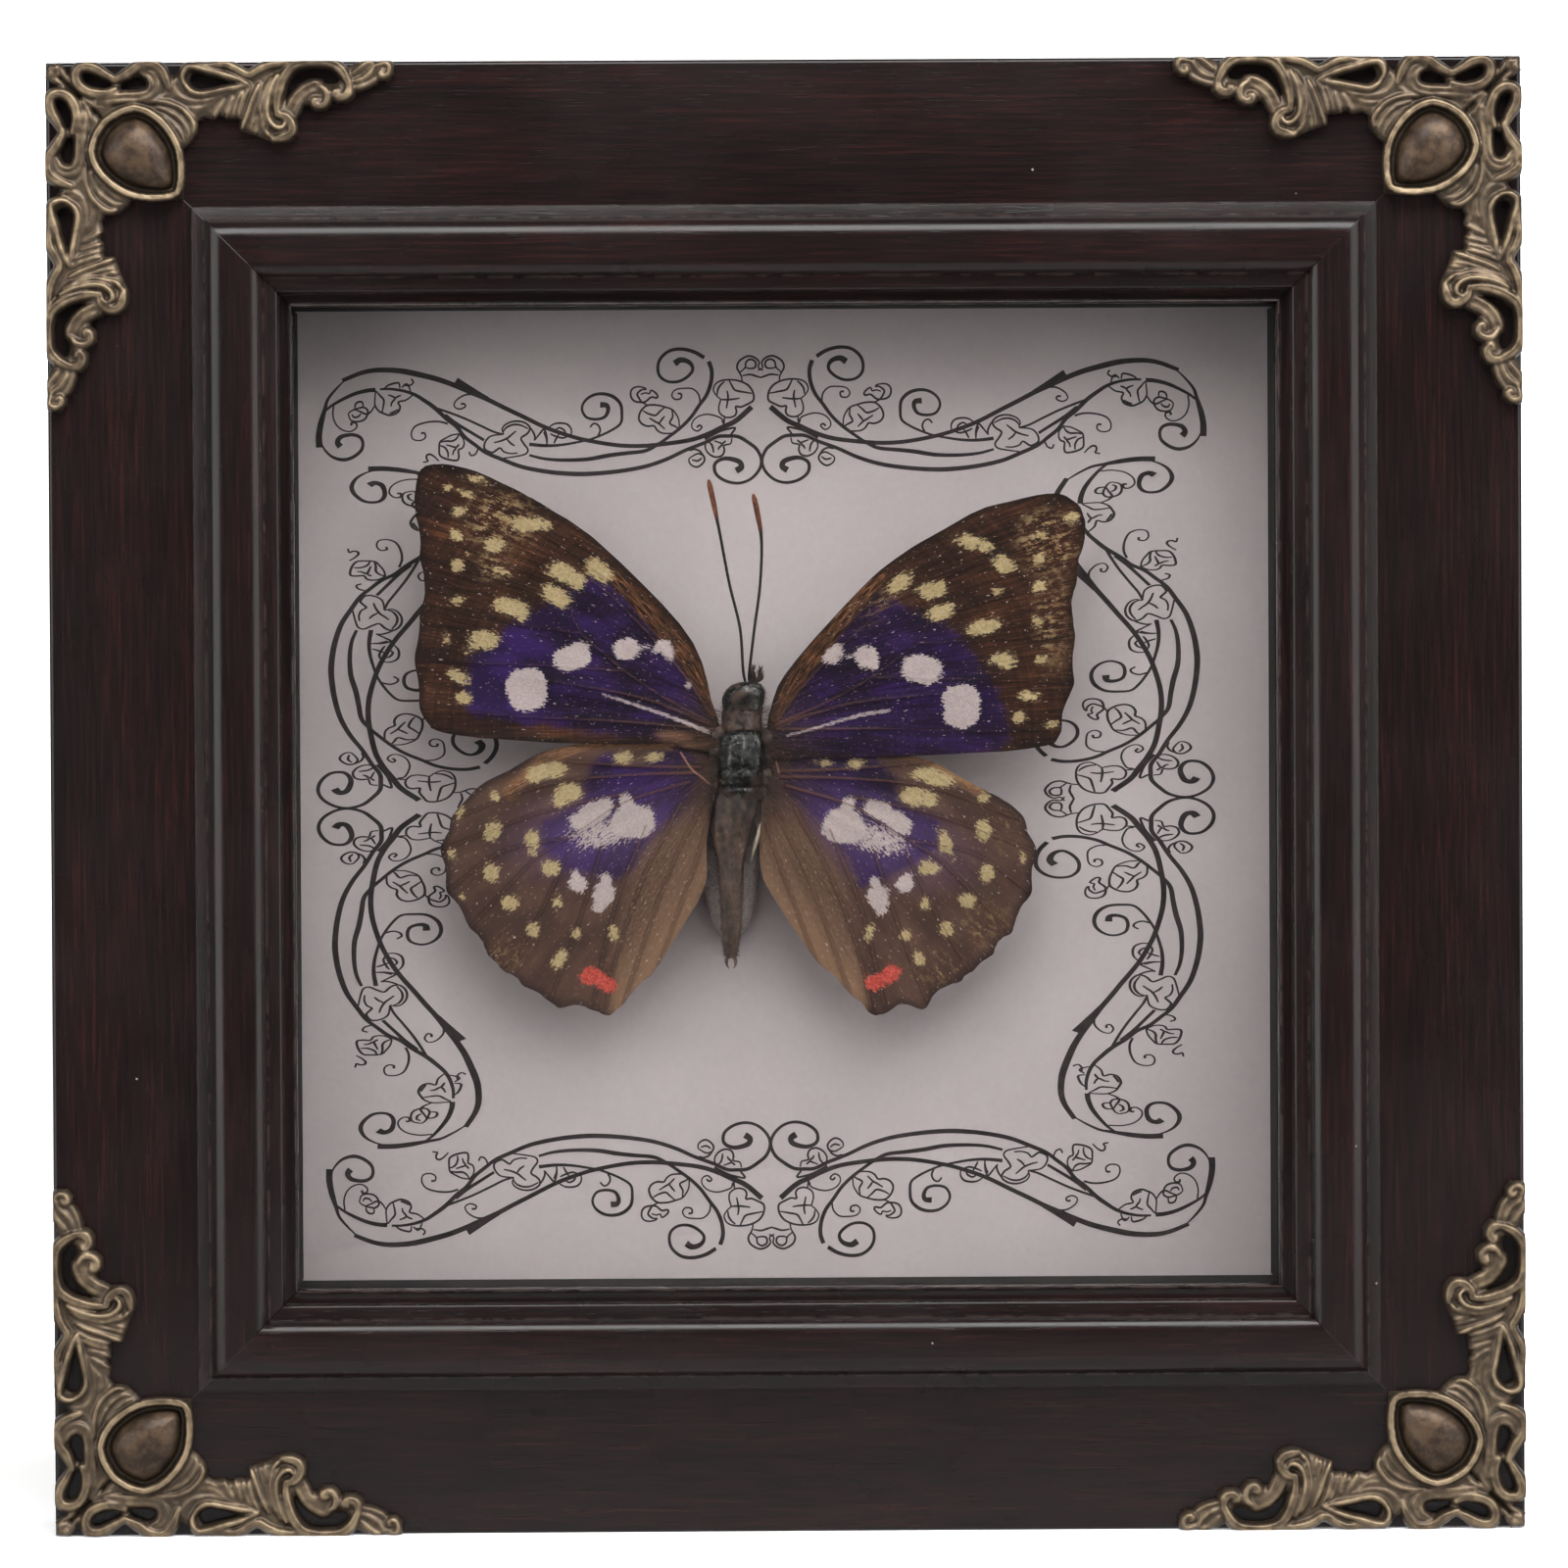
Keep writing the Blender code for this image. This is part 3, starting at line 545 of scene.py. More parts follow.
# Each strand: half width, height of its crest, depth of the groove along it, and the points it runs through.
STRANDS = [
    (0.95, 2.6, 0.3, [(0.9, 0.9), (1.5, 1.5)]),
    (0.35, 1.9, 0.0, [(2.1, 0.7), (2.5, 1.6), (3.2, 2.4), (3.9, 2.8)]),
    (0.62, 2.9, 0.25, [(9.6, 2.4), (8.2, 1.7), (7.0, 1.0), (5.7, 0.6), (4.6, 0.9), (4.2, 1.9),
    (4.6, 3.1), (5.6, 3.9),
                       (7.0, 4.3), (8.4, 4.2), (9.6, 3.7)]),
    (0.62, 3.0, 0.25, [(9.2, 2.5), (10.4, 2.0), (11.5, 1.4), (12.6, 0.6), (13.8, 0.3), (14.9, 0.4),
    (15.8, 1.2),
                       (16.4, 2.4), (16.8, 3.6)]),
    (0.80, 2.7, 0.30, [(13.2, 1.4), (14.4, 1.9), (14.9, 3.0), (14.4, 4.2), (13.0, 4.8), (11.2, 4.9),
    (9.2, 5.0),
                       (7.2, 5.3)]),
    (0.42, 2.1, 0.0, [(7.2, 5.6), (9.0, 5.6), (11.0, 5.3), (13.4, 5.3), (15.6, 4.9), (16.8, 4.2)]),
    (0.38, 2.0, 0.0, [(5.2, 4.9), (6.1, 5.6), (7.2, 6.1), (8.2, 6.2)]),
    (0.45, 2.4, 0.0, [(13.6, 5.6), (15.3, 5.4), (17.0, 5.7), (18.5, 6.4), (19.6, 7.5), (20.2, 8.6),
    (20.1, 9.6)]),
    (0.45, 2.2, 0.0, [(15.0, 6.2), (16.4, 6.6), (17.7, 7.3), (18.7, 8.3), (19.3, 9.4), (19.3, 10.4)]),
    (0.45, 2.2, 0.0, [(15.4, 7.0), (16.5, 7.7), (17.5, 8.6), (18.3, 9.7), (18.7, 10.9)]),
    (0.42, 2.1, 0.0, [(17.6, 2.4), (17.5, 3.6), (18.2, 4.7), (19.6, 5.3), (21.4, 5.4), (23.2, 5.0),
    (25.2, 4.3)]),
    (0.50, 2.8, 0.0, [(18.8, 3.0), (18.7, 1.8), (19.3, 0.8), (20.5, 0.8), (22.2, 1.3), (24.2, 1.8),
    (26.0, 2.4),
                      (27.6, 3.1)]),
    (0.50, 2.6, 0.0, [(18.8, 2.6), (19.5, 3.8), (20.8, 4.4), (22.6, 4.2), (24.4, 3.8), (26.2, 3.5),
    (27.6, 3.2)]),
    (0.55, 2.9, 0.20, [(20.4, 0.4), (22.4, 0.6), (24.2, 0.4), (25.6, 0.9), (26.8, 1.6), (27.8, 1.8),
    (29.0, 1.1),
                       (30.6, 0.5), (32.6, 0.3), (34.0, 0.2)]),
    (0.42, 2.0, 0.0, [(19.0, 6.2), (20.4, 6.4), (21.6, 6.2), (22.6, 5.6), (23.4, 5.0)]),
    (0.36, 1.8, 0.0, [(20.2, 7.2), (21.2, 7.2), (22.0, 6.6)]),
    (0.40, 2.2, 0.0, [(24.4, 5.0), (23.8, 6.0), (23.0, 7.5)]),
    (0.40, 2.2, 0.0, [(25.4, 4.8), (25.1, 6.0), (24.6, 7.5)]),
    (0.40, 2.3, 0.0, [(26.8, 3.9), (26.2, 5.2), (25.6, 7.4)]),
    (0.42, 2.4, 0.0, [(27.9, 3.3), (27.1, 4.8), (26.6, 6.4), (26.3, 7.6)]),
    (0.45, 2.6, 0.0, [(29.1, 3.1), (28.3, 4.7), (27.7, 6.4), (27.1, 8.0), (26.7, 9.1)]),
    (0.36, 2.3, 0.0, [(29.8, 3.2), (29.1, 4.8), (28.6, 6.4), (28.2, 7.8), (27.9, 9.4)]),
    (0.40, 2.6, 0.0, [(30.7, 2.2), (30.0, 3.8), (29.5, 5.4), (29.3, 6.8), (29.6, 8.2), (30.2, 9.0)]),
    (0.45, 3.0, 0.0, [(31.5, 1.8), (30.8, 3.3), (30.3, 5.0), (30.1, 6.6), (30.4, 8.0), (31.2, 8.9),
    (32.1, 9.0),
                      (32.5, 8.4)]),
    (0.42, 2.2, 0.0, [(28.9, 7.4), (28.7, 8.6), (28.5, 9.7)]),
    (0.42, 2.4, 0.0, [(29.3, 8.0), (29.8, 9.3), (30.6, 10.3)]),
    (0.62, 2.9, 0.25, [(31.2, 7.3), (32.3, 7.4), (33.2, 8.2), (33.5, 9.2), (33.0, 10.0), (31.9, 10.4),
    (30.9, 10.6)]),
    (0.62, 3.2, 0.30, [(31.4, 7.4), (31.4, 5.6), (31.8, 3.8), (32.5, 2.1), (33.6, 0.8), (35.2, 0.25),
    (37.0, 0.15),
                       (38.8, 0.35), (40.1, 1.2), (40.9, 2.5), (41.3, 3.6)]),
    (0.70, 2.9, 0.20, [(41.2, 3.4), (41.0, 4.4), (40.1, 4.8), (39.5, 4.4), (39.8, 4.0)]),
    (0.85, 2.3, 0.45, [(33.3, 8.0), (33.5, 6.6), (34.2, 5.2), (35.3, 4.1), (36.7, 3.5), (37.8, 3.9)]),
    (0.55, 2.7, 0.10, [(37.2, 3.4), (38.1, 4.1), (38.2, 5.2), (37.5, 6.0), (36.7, 5.9), (36.5, 5.3),
    (37.2, 5.2)]),
    (0.40, 2.2, 0.0, [(41.4, 2.0), (42.4, 1.2), (43.4, 0.4), (44.4, 0.2)]),
    (0.42, 2.3, 0.0, [(41.6, 2.9), (42.9, 2.5), (43.9, 1.8), (44.6, 0.9), (45.2, 0.4)]),
    (0.38, 2.1, 0.0, [(41.6, 3.8), (42.9, 3.5), (44.2, 3.0), (45.2, 2.3)]),
    (0.50, 2.6, 0.0, [(45.2, 0.6), (46.2, 0.35), (46.7, 0.9), (46.5, 1.7), (45.8, 2.1), (45.4, 1.6),
    (45.9, 1.2)]),
]
CAST_PITCH = 0.15
CAST_REACH = 47.6
CAST_GRAIN = 0.035
CAST_SEED = 7
CAST_MARGIN = 0.5
CAST_SKIRT = 0.85
STRAND_FULLNESS = 1.5
# Heights of the web between the strands and of the bezel's floor, the width of the bezel's rim, and
# how far inside it the dome starts.
WEB_LOW, BEZEL_LOW = 0.9, 1.3
BEZEL_RIM = 1.05
DOME_INSET = 1.95
DOME_CENTRE = 12.6


def bezel_ring(grow):
    """The closed outline of the bezel, moved outwards by so many millimetres."""
    half = np.array(BEZEL)
    ring = spline(np.vstack([half, half[::-1][1:, ::-1][:-1]]), 5, closed=True)
    centre = np.array([DOME_CENTRE, DOME_CENTRE])
    away = np.hypot(*(ring - centre).T)[:, None]
    return centre + (ring - centre) * (1 + grow / away)


def casting_relief():
    """The casting over a square grid.

    It returns the grid's steps, the height, the footprint as a distance that is negative inside, and
    1 where the dome is."""
    count = int(CAST_REACH / CAST_PITCH) + 5
    steps = np.arange(count) * CAST_PITCH - CAST_MARGIN
    u, v = np.meshgrid(steps, steps, indexing="ij")
    spots = np.stack([u.ravel(), v.ravel()], axis=1)
    # The casting is the same on both sides of its diagonal, so every spot is folded to one side.
    folded = np.where((spots[:, :1] >= spots[:, 1:]), spots, spots[:, ::-1])
    near = (folded[:, 1] < 12.5) | (folded.sum(axis=1) < 40)
    half = folded[near]

    edge = ORNAMENT_EDGE + [(18.7, 18.7), (-CAST_MARGIN, -CAST_MARGIN)]
    fill = polygon_distance(half, edge)
    for hole in ORNAMENT_HOLES:
        fill = np.maximum(fill, -polygon_distance(half, spline(hole, 4, closed=True)))
    height = np.where(fill < 0, WEB_LOW + 0.9 * np.clip(-fill / 0.7, 0, 1) ** 0.5, 0.0)
    footprint = fill.copy()
    for width, crest, groove, points in STRANDS:
        line = spline(points)
        low, high = line.min(0) - 1.5 * width, line.max(0) + 1.5 * width
        close = ((half > low) & (half < high)).all(axis=1)
        away, along = line_distance(half[close], line)
        taper = 0.55 + 0.45 * np.clip(np.minimum(along, 1 - along) * 5, 0, 1) ** 0.7
        reach = width * STRAND_FULLNESS * taper
        across = np.clip(away / reach, 0, 1)
        body = (1 - across**2) ** 0.75 * (1 - groove * np.exp(-((across / 0.38) ** 2)))
        rise = WEB_LOW + (crest - WEB_LOW) * body * (0.7 + 0.3 * taper)
        rise = np.where(away < reach, rise, 0)
        height[close] = np.maximum(height[close], rise)
        footprint[close] = np.minimum(footprint[close], away - reach)

    outer = polygon_distance(half, bezel_ring(0.0))
    rim = (outer < 0) & (outer > -BEZEL_RIM)
    ring = 2.5 + 0.75 * np.sin(np.clip(-outer / BEZEL_RIM, 0, 1) * math.pi) ** 0.6
    ring -= 0.55 * np.exp(-(((-outer - 0.55) / 0.14) ** 2))
    inner = polygon_distance(half, bezel_ring(-DOME_INSET))
    from_centre = np.hypot(*(half - DOME_CENTRE).T)
    polar = from_centre / np.maximum(from_centre - inner, 1e-6)
    dome = 1.5 + 2.7 * np.sqrt(np.clip(1 - np.clip(polar, 0, 1) ** 2.2, 0, 1))
    height = np.where(outer < 0, BEZEL_LOW, height)
    height = np.where(rim, ring, height)
    height = np.where(inner < 0, dome, height)
    footprint = np.minimum(footprint, outer)

    fields = []
    for values, empty in ((height, 0.0), (footprint, 5.0), (np.where(inner < 0, 1.0, 0.0), 0.0)):
        field = np.full(len(spots), empty)
        field[near] = values
        fields.append(field.reshape(count, count))
    return steps, *fields


def bronze_material():
    """Cast brass, aged dark in its recesses and rubbed bright on its ridges."""
    bronze = Finish("antique_bronze", Metallic=0.8, Coat_Weight=0.1, Coat_Roughness=0.2)
    ridge = bronze.attribute("ridge")
    dome = bronze.attribute("dome")
    grime = bronze.noise(bronze.place(), 620.0, 5.0, 0.6)
    patch = bronze.noise(bronze.place(), 130.0, 3.0)
    worn = bronze.math("ADD", ridge, bronze.band(grime, 0.3, 0.7, -0.16, 0.16))
    worn = bronze.math("ADD", worn, bronze.band(patch, 0.3, 0.7, -0.10, 0.10))
    cast = bronze.ramp(
        bronze.band(worn, -0.45, 0.62), (0.0, srgb(56, 47, 38)), (0.34, srgb(74, 62, 49)),
        (0.56, srgb(90, 76, 60)), (0.8, srgb(112, 97, 76)), (1.0, srgb(136, 119, 96)),
    )
    mottle = bronze.band(bronze.noise(bronze.place(), 420.0, 6.0, 0.7), 0.36, 0.64)
    stone = bronze.ramp(mottle, (0.0, srgb(42, 32, 25)), (0.5, srgb(58, 45, 34)), (1.0, srgb(76, 60, 45)))
    bronze.set("Base Color", bronze.mix(dome, cast, stone))
    rough = bronze.math("ADD", bronze.band(grime, 0.25, 0.75, 0.42, 0.58), bronze.times(dome, 0.08))
    bronze.set("Roughness", rough)
    bronze.bump(bronze.times(grime, bronze.band(dome, 0.0, 1.0, 1.0, 0.25)), 0.05)
    return bronze.material


def build_castings(material):
    """The same casting on all four corners, turned about the frame's centre."""
    steps, height, footprint, dome = casting_relief()
    grain = np.random.default_rng(CAST_SEED).normal(size=height.shape)
    grain = blurred(grain, 2.2)
    height = height + CAST_GRAIN * (1 - dome) * grain / grain.std()
    solid = np.where(footprint < 0, 1.0, 0.0)
    worn = blurred(height * solid, 1.0) / np.maximum(blurred(solid, 1.0), 0.05)
    height = height * dome + worn * (1 - dome)
    # What stands above the level round it is rubbed bright by the shader.
    level = blurred(height * solid, 3.5) / np.maximum(blurred(solid, 3.5), 0.05)
    spots, used, cells = cut_sheet(steps, steps, footprint, CAST_PITCH)
    inside = (footprint < 0)[used]
    top = np.where(inside, np.maximum(height[used], CAST_SKIRT), CAST_SKIRT)
    ridge = np.where(inside, height[used] - level[used], -0.1)
    u, v = np.maximum(spots, 0.05).T
    front = np.stack([u - HALF, FACE_Y - top, HALF - v], axis=1)
    back = front * (1, 0, 1) + (0, FACE_Y, 0)
    points, faces = closed_sheet(front, back, cells)
    shade = np.concatenate([ridge, ridge])
    domes = np.tile(dome[used], 2)
    for quarter, corner in enumerate(("top_left", "top_right", "bottom_right", "bottom_left")):
        placed = points @ turned(90 * quarter).T + (0, 0, HALF)
        mesh_piece(
            "casting_" + corner, placed, faces, material, "antique_bronze",
            ["corner_ornament_" + corner], smooth=70, ridge=shade, dome=domes,
        )


# ---------------------------------------------------------------- printed card

# The scroll print, in millimetres across and up the card's front. One motif is listed, the left half
# of the top border, and the others are its mirror images. Each stroke: widths along it, and its points.
PRINT_CENTRE = (-2.6, 98.8)
# The print lies a little crooked on the card, by this turn in radians.
PRINT_TURN = 0.0077
# The motif is narrower and deeper on the left and right sides.
SIDE_SHRINK = 0.767
SIDE_GROW = 1.33
SIDE_EDGE = 61.8
MOTIF_EDGE = 44.1
STROKES = [
    ((0.55, 0.8, 0.65, 0.55, 0.6, 0.75), [
        (-60.7, 157.3), (-58.2, 158.3), (-56.2, 158.7), (-53.9, 158.7), (-52.1, 158.5), (-49.8, 158.0),
        (-47.5, 157.4), (-45.3, 156.6), (-43.0, 155.6), (-40.7, 154.6), (-38.5, 153.5), (-36.2, 152.4),
        (-32.7, 150.7), (-29.3, 149.5), (-26.5, 148.8), (-22.7, 148.2), (-19.3, 148.1), (-16.0, 148.4),
        (-12.7, 148.9), (-10.3, 149.7), (-8.4, 150.6), (-6.5, 151.5), (-4.3, 153.4)]),
    ((0.8, 0.7, 0.5), [(-45.0, 157.3), (-43.4, 156.3), (-41.9, 155.4), (-40.6, 154.7)]),
    ((0.2, 0.45, 0.8, 0.95), [
        (-60.5, 157.2), (-61.6, 156.1), (-62.7, 154.7), (-63.1, 153.4), (-63.4, 152.4), (-63.7, 151.3),
        (-63.95, 149.7), (-63.9, 148.1)]),
    ((0.2, 0.5, 0.45, 0.5, 0.9), [
        (-63.7, 148.8), (-63.1, 147.7), (-62.1, 146.8), (-60.7, 146.4), (-59.4, 146.7), (-58.2, 147.6),
        (-57.9, 148.6), (-58.2, 149.4), (-59.0, 149.8), (-60.0, 149.8), (-61.0, 149.5), (-61.4, 148.8),
        (-61.0, 148.2)]),
    ((0.3, 0.5, 0.6), [
        (-63.1, 153.1), (-62.1, 153.9), (-60.5, 154.8), (-58.9, 155.5), (-57.3, 155.9), (-56.1, 156.0)]),
    ((0.3, 0.6, 0.5, 0.65, 0.5, 0.5, 0.4, 0.5, 0.9), [
        (-55.5, 156.1), (-53.9, 156.1), (-52.1, 155.8), (-50.7, 155.3), (-49.4, 154.5), (-48.0, 153.5),
        (-46.4, 152.0), (-45.0, 150.9), (-43.9, 149.5), (-42.5, 148.4), (-41.0, 147.3), (-38.9, 146.4),
        (-36.0, 145.3), (-32.4, 144.6), (-29.1, 144.3), (-26.5, 144.3), (-22.9, 144.6), (-19.3, 145.2),
        (-16.2, 146.2), (-13.4, 147.5), (-10.8, 148.5), (-9.1, 149.3), (-7.7, 149.4), (-6.2, 149.3),
        (-4.8, 148.5), (-3.6, 147.5), (-3.0, 146.0), (-3.4, 144.6), (-4.6, 143.4), (-6.2, 142.9),
        (-7.9, 143.2), (-9.2, 144.1), (-9.5, 145.2), (-9.1, 145.9), (-8.1, 146.3), (-7.0, 146.2),
        (-6.0, 145.8), (-5.8, 145.1), (-6.5, 144.6)]),
    ((0.4, 0.3, 0.3), [(-10.8, 149.0), (-9.1, 149.9), (-7.9, 150.3), (-6.6, 150.5), (-7.1, 149.7),
    (-7.1, 149.3)]),
    ((0.35, 0.3), [(-48.0, 153.5), (-46.2, 152.9), (-44.1, 152.1), (-41.9, 151.1), (-40.0, 150.2),
    (-38.7, 149.8)]),
    ((0.5, 0.4), [(-46.6, 152.5), (-45.0, 151.3), (-43.2, 150.2), (-41.2, 149.0)]),
    ((0.35, 0.6, 0.45, 0.5, 0.6), [
        (-35.0, 146.9), (-32.9, 146.4), (-30.3, 146.2), (-27.0, 146.3), (-24.1, 146.8), (-21.7, 147.1),
        (-19.1, 147.4), (-17.4, 148.2), (-15.8, 149.3), (-14.1, 150.6), (-12.7, 152.0), (-11.5, 153.7),
        (-10.5, 155.1), (-9.9, 156.8), (-9.8, 158.4), (-10.2, 159.7)]),
    ((0.55, 0.45, 0.4, 0.45, 0.9), [
        (-10.8, 160.2), (-12.2, 161.0), (-13.9, 161.4), (-15.5, 161.2), (-16.7, 160.3), (-17.2, 159.1),
        (-17.0, 157.8), (-16.0, 157.0), (-14.6, 156.9), (-13.4, 157.4), (-12.5, 158.3), (-12.5, 159.1),
        (-13.1, 159.7), (-14.1, 159.9), (-14.9, 159.4)]),
    ((0.5, 0.3, 0.35, 0.5, 0.35, 0.4, 0.8), [
        (-35.0, 148.4), (-32.7, 148.2), (-30.5, 148.3), (-28.1, 148.7), (-26.7, 149.0), (-25.3, 149.5),
        (-23.6, 150.3), (-22.4, 151.2), (-22.2, 152.5), (-22.4, 153.9), (-23.4, 154.9), (-24.8, 155.3),
        (-26.2, 155.1), (-27.3, 154.3), (-27.7, 153.2), (-27.1, 152.1), (-25.8, 151.8), (-24.6, 152.1),
        (-24.1, 153.0), (-24.3, 153.7), (-25.2, 153.8)]),
    ((0.3, 0.25), [(-25.5, 149.5), (-25.2, 150.3), (-25.5, 151.0), (-26.1, 151.2), (-26.6, 150.7)]),
    ((0.3, 0.2, 0.3), [
        (-41.2, 155.1), (-42.8, 155.3), (-43.9, 155.2), (-45.0, 154.5), (-45.3, 153.7), (-44.6, 153.3),
        (-43.8, 153.6), (-43.9, 154.0), (-44.4, 154.0)]),
    ((0.3, 0.25, 0.2, 0.3), [
        (-46.2, 151.3), (-47.5, 151.6), (-49.1, 151.5), (-50.6, 151.0), (-51.2, 150.1), (-51.0, 149.2),
        (-50.0, 149.0), (-49.3, 149.4), (-49.4, 150.0), (-49.9, 150.0)]),
    ((0.25, 0.2, 0.35), [
        (-61.9, 153.8), (-62.0, 152.5), (-61.6, 151.3), (-60.7, 150.5), (-59.6, 150.3), (-58.8, 150.8),
        (-58.8, 151.4), (-59.4, 151.5), (-59.5, 151.1)]),
    ((0.25, 0.2, 0.3), [
        (-11.4, 154.0), (-11.6, 155.1), (-12.4, 155.9), (-13.6, 156.0), (-14.8, 155.8), (-15.3, 155.1),
        (-14.9, 154.5), (-14.1, 154.6), (-14.0, 155.2), (-14.5, 155.3)]),
    ((0.25, 0.2, 0.3), [
        (-8.3, 151.2), (-8.6, 151.9), (-10.3, 152.4), (-11.7, 152.1), (-12.5, 151.3), (-12.5, 150.5),
        (-11.8, 150.1), (-11.2, 150.6), (-11.5, 150.9), (-11.9, 150.6)]),
    ((0.25, 0.25), [(-52.2, 156.6), (-51.4, 156.6), (-50.9, 157.0), (-51.2, 157.5)]),
    ((0.25, 0.25), [(-42.0, 147.9), (-42.4, 147.1), (-43.0, 146.9), (-43.3, 147.4)]),
]
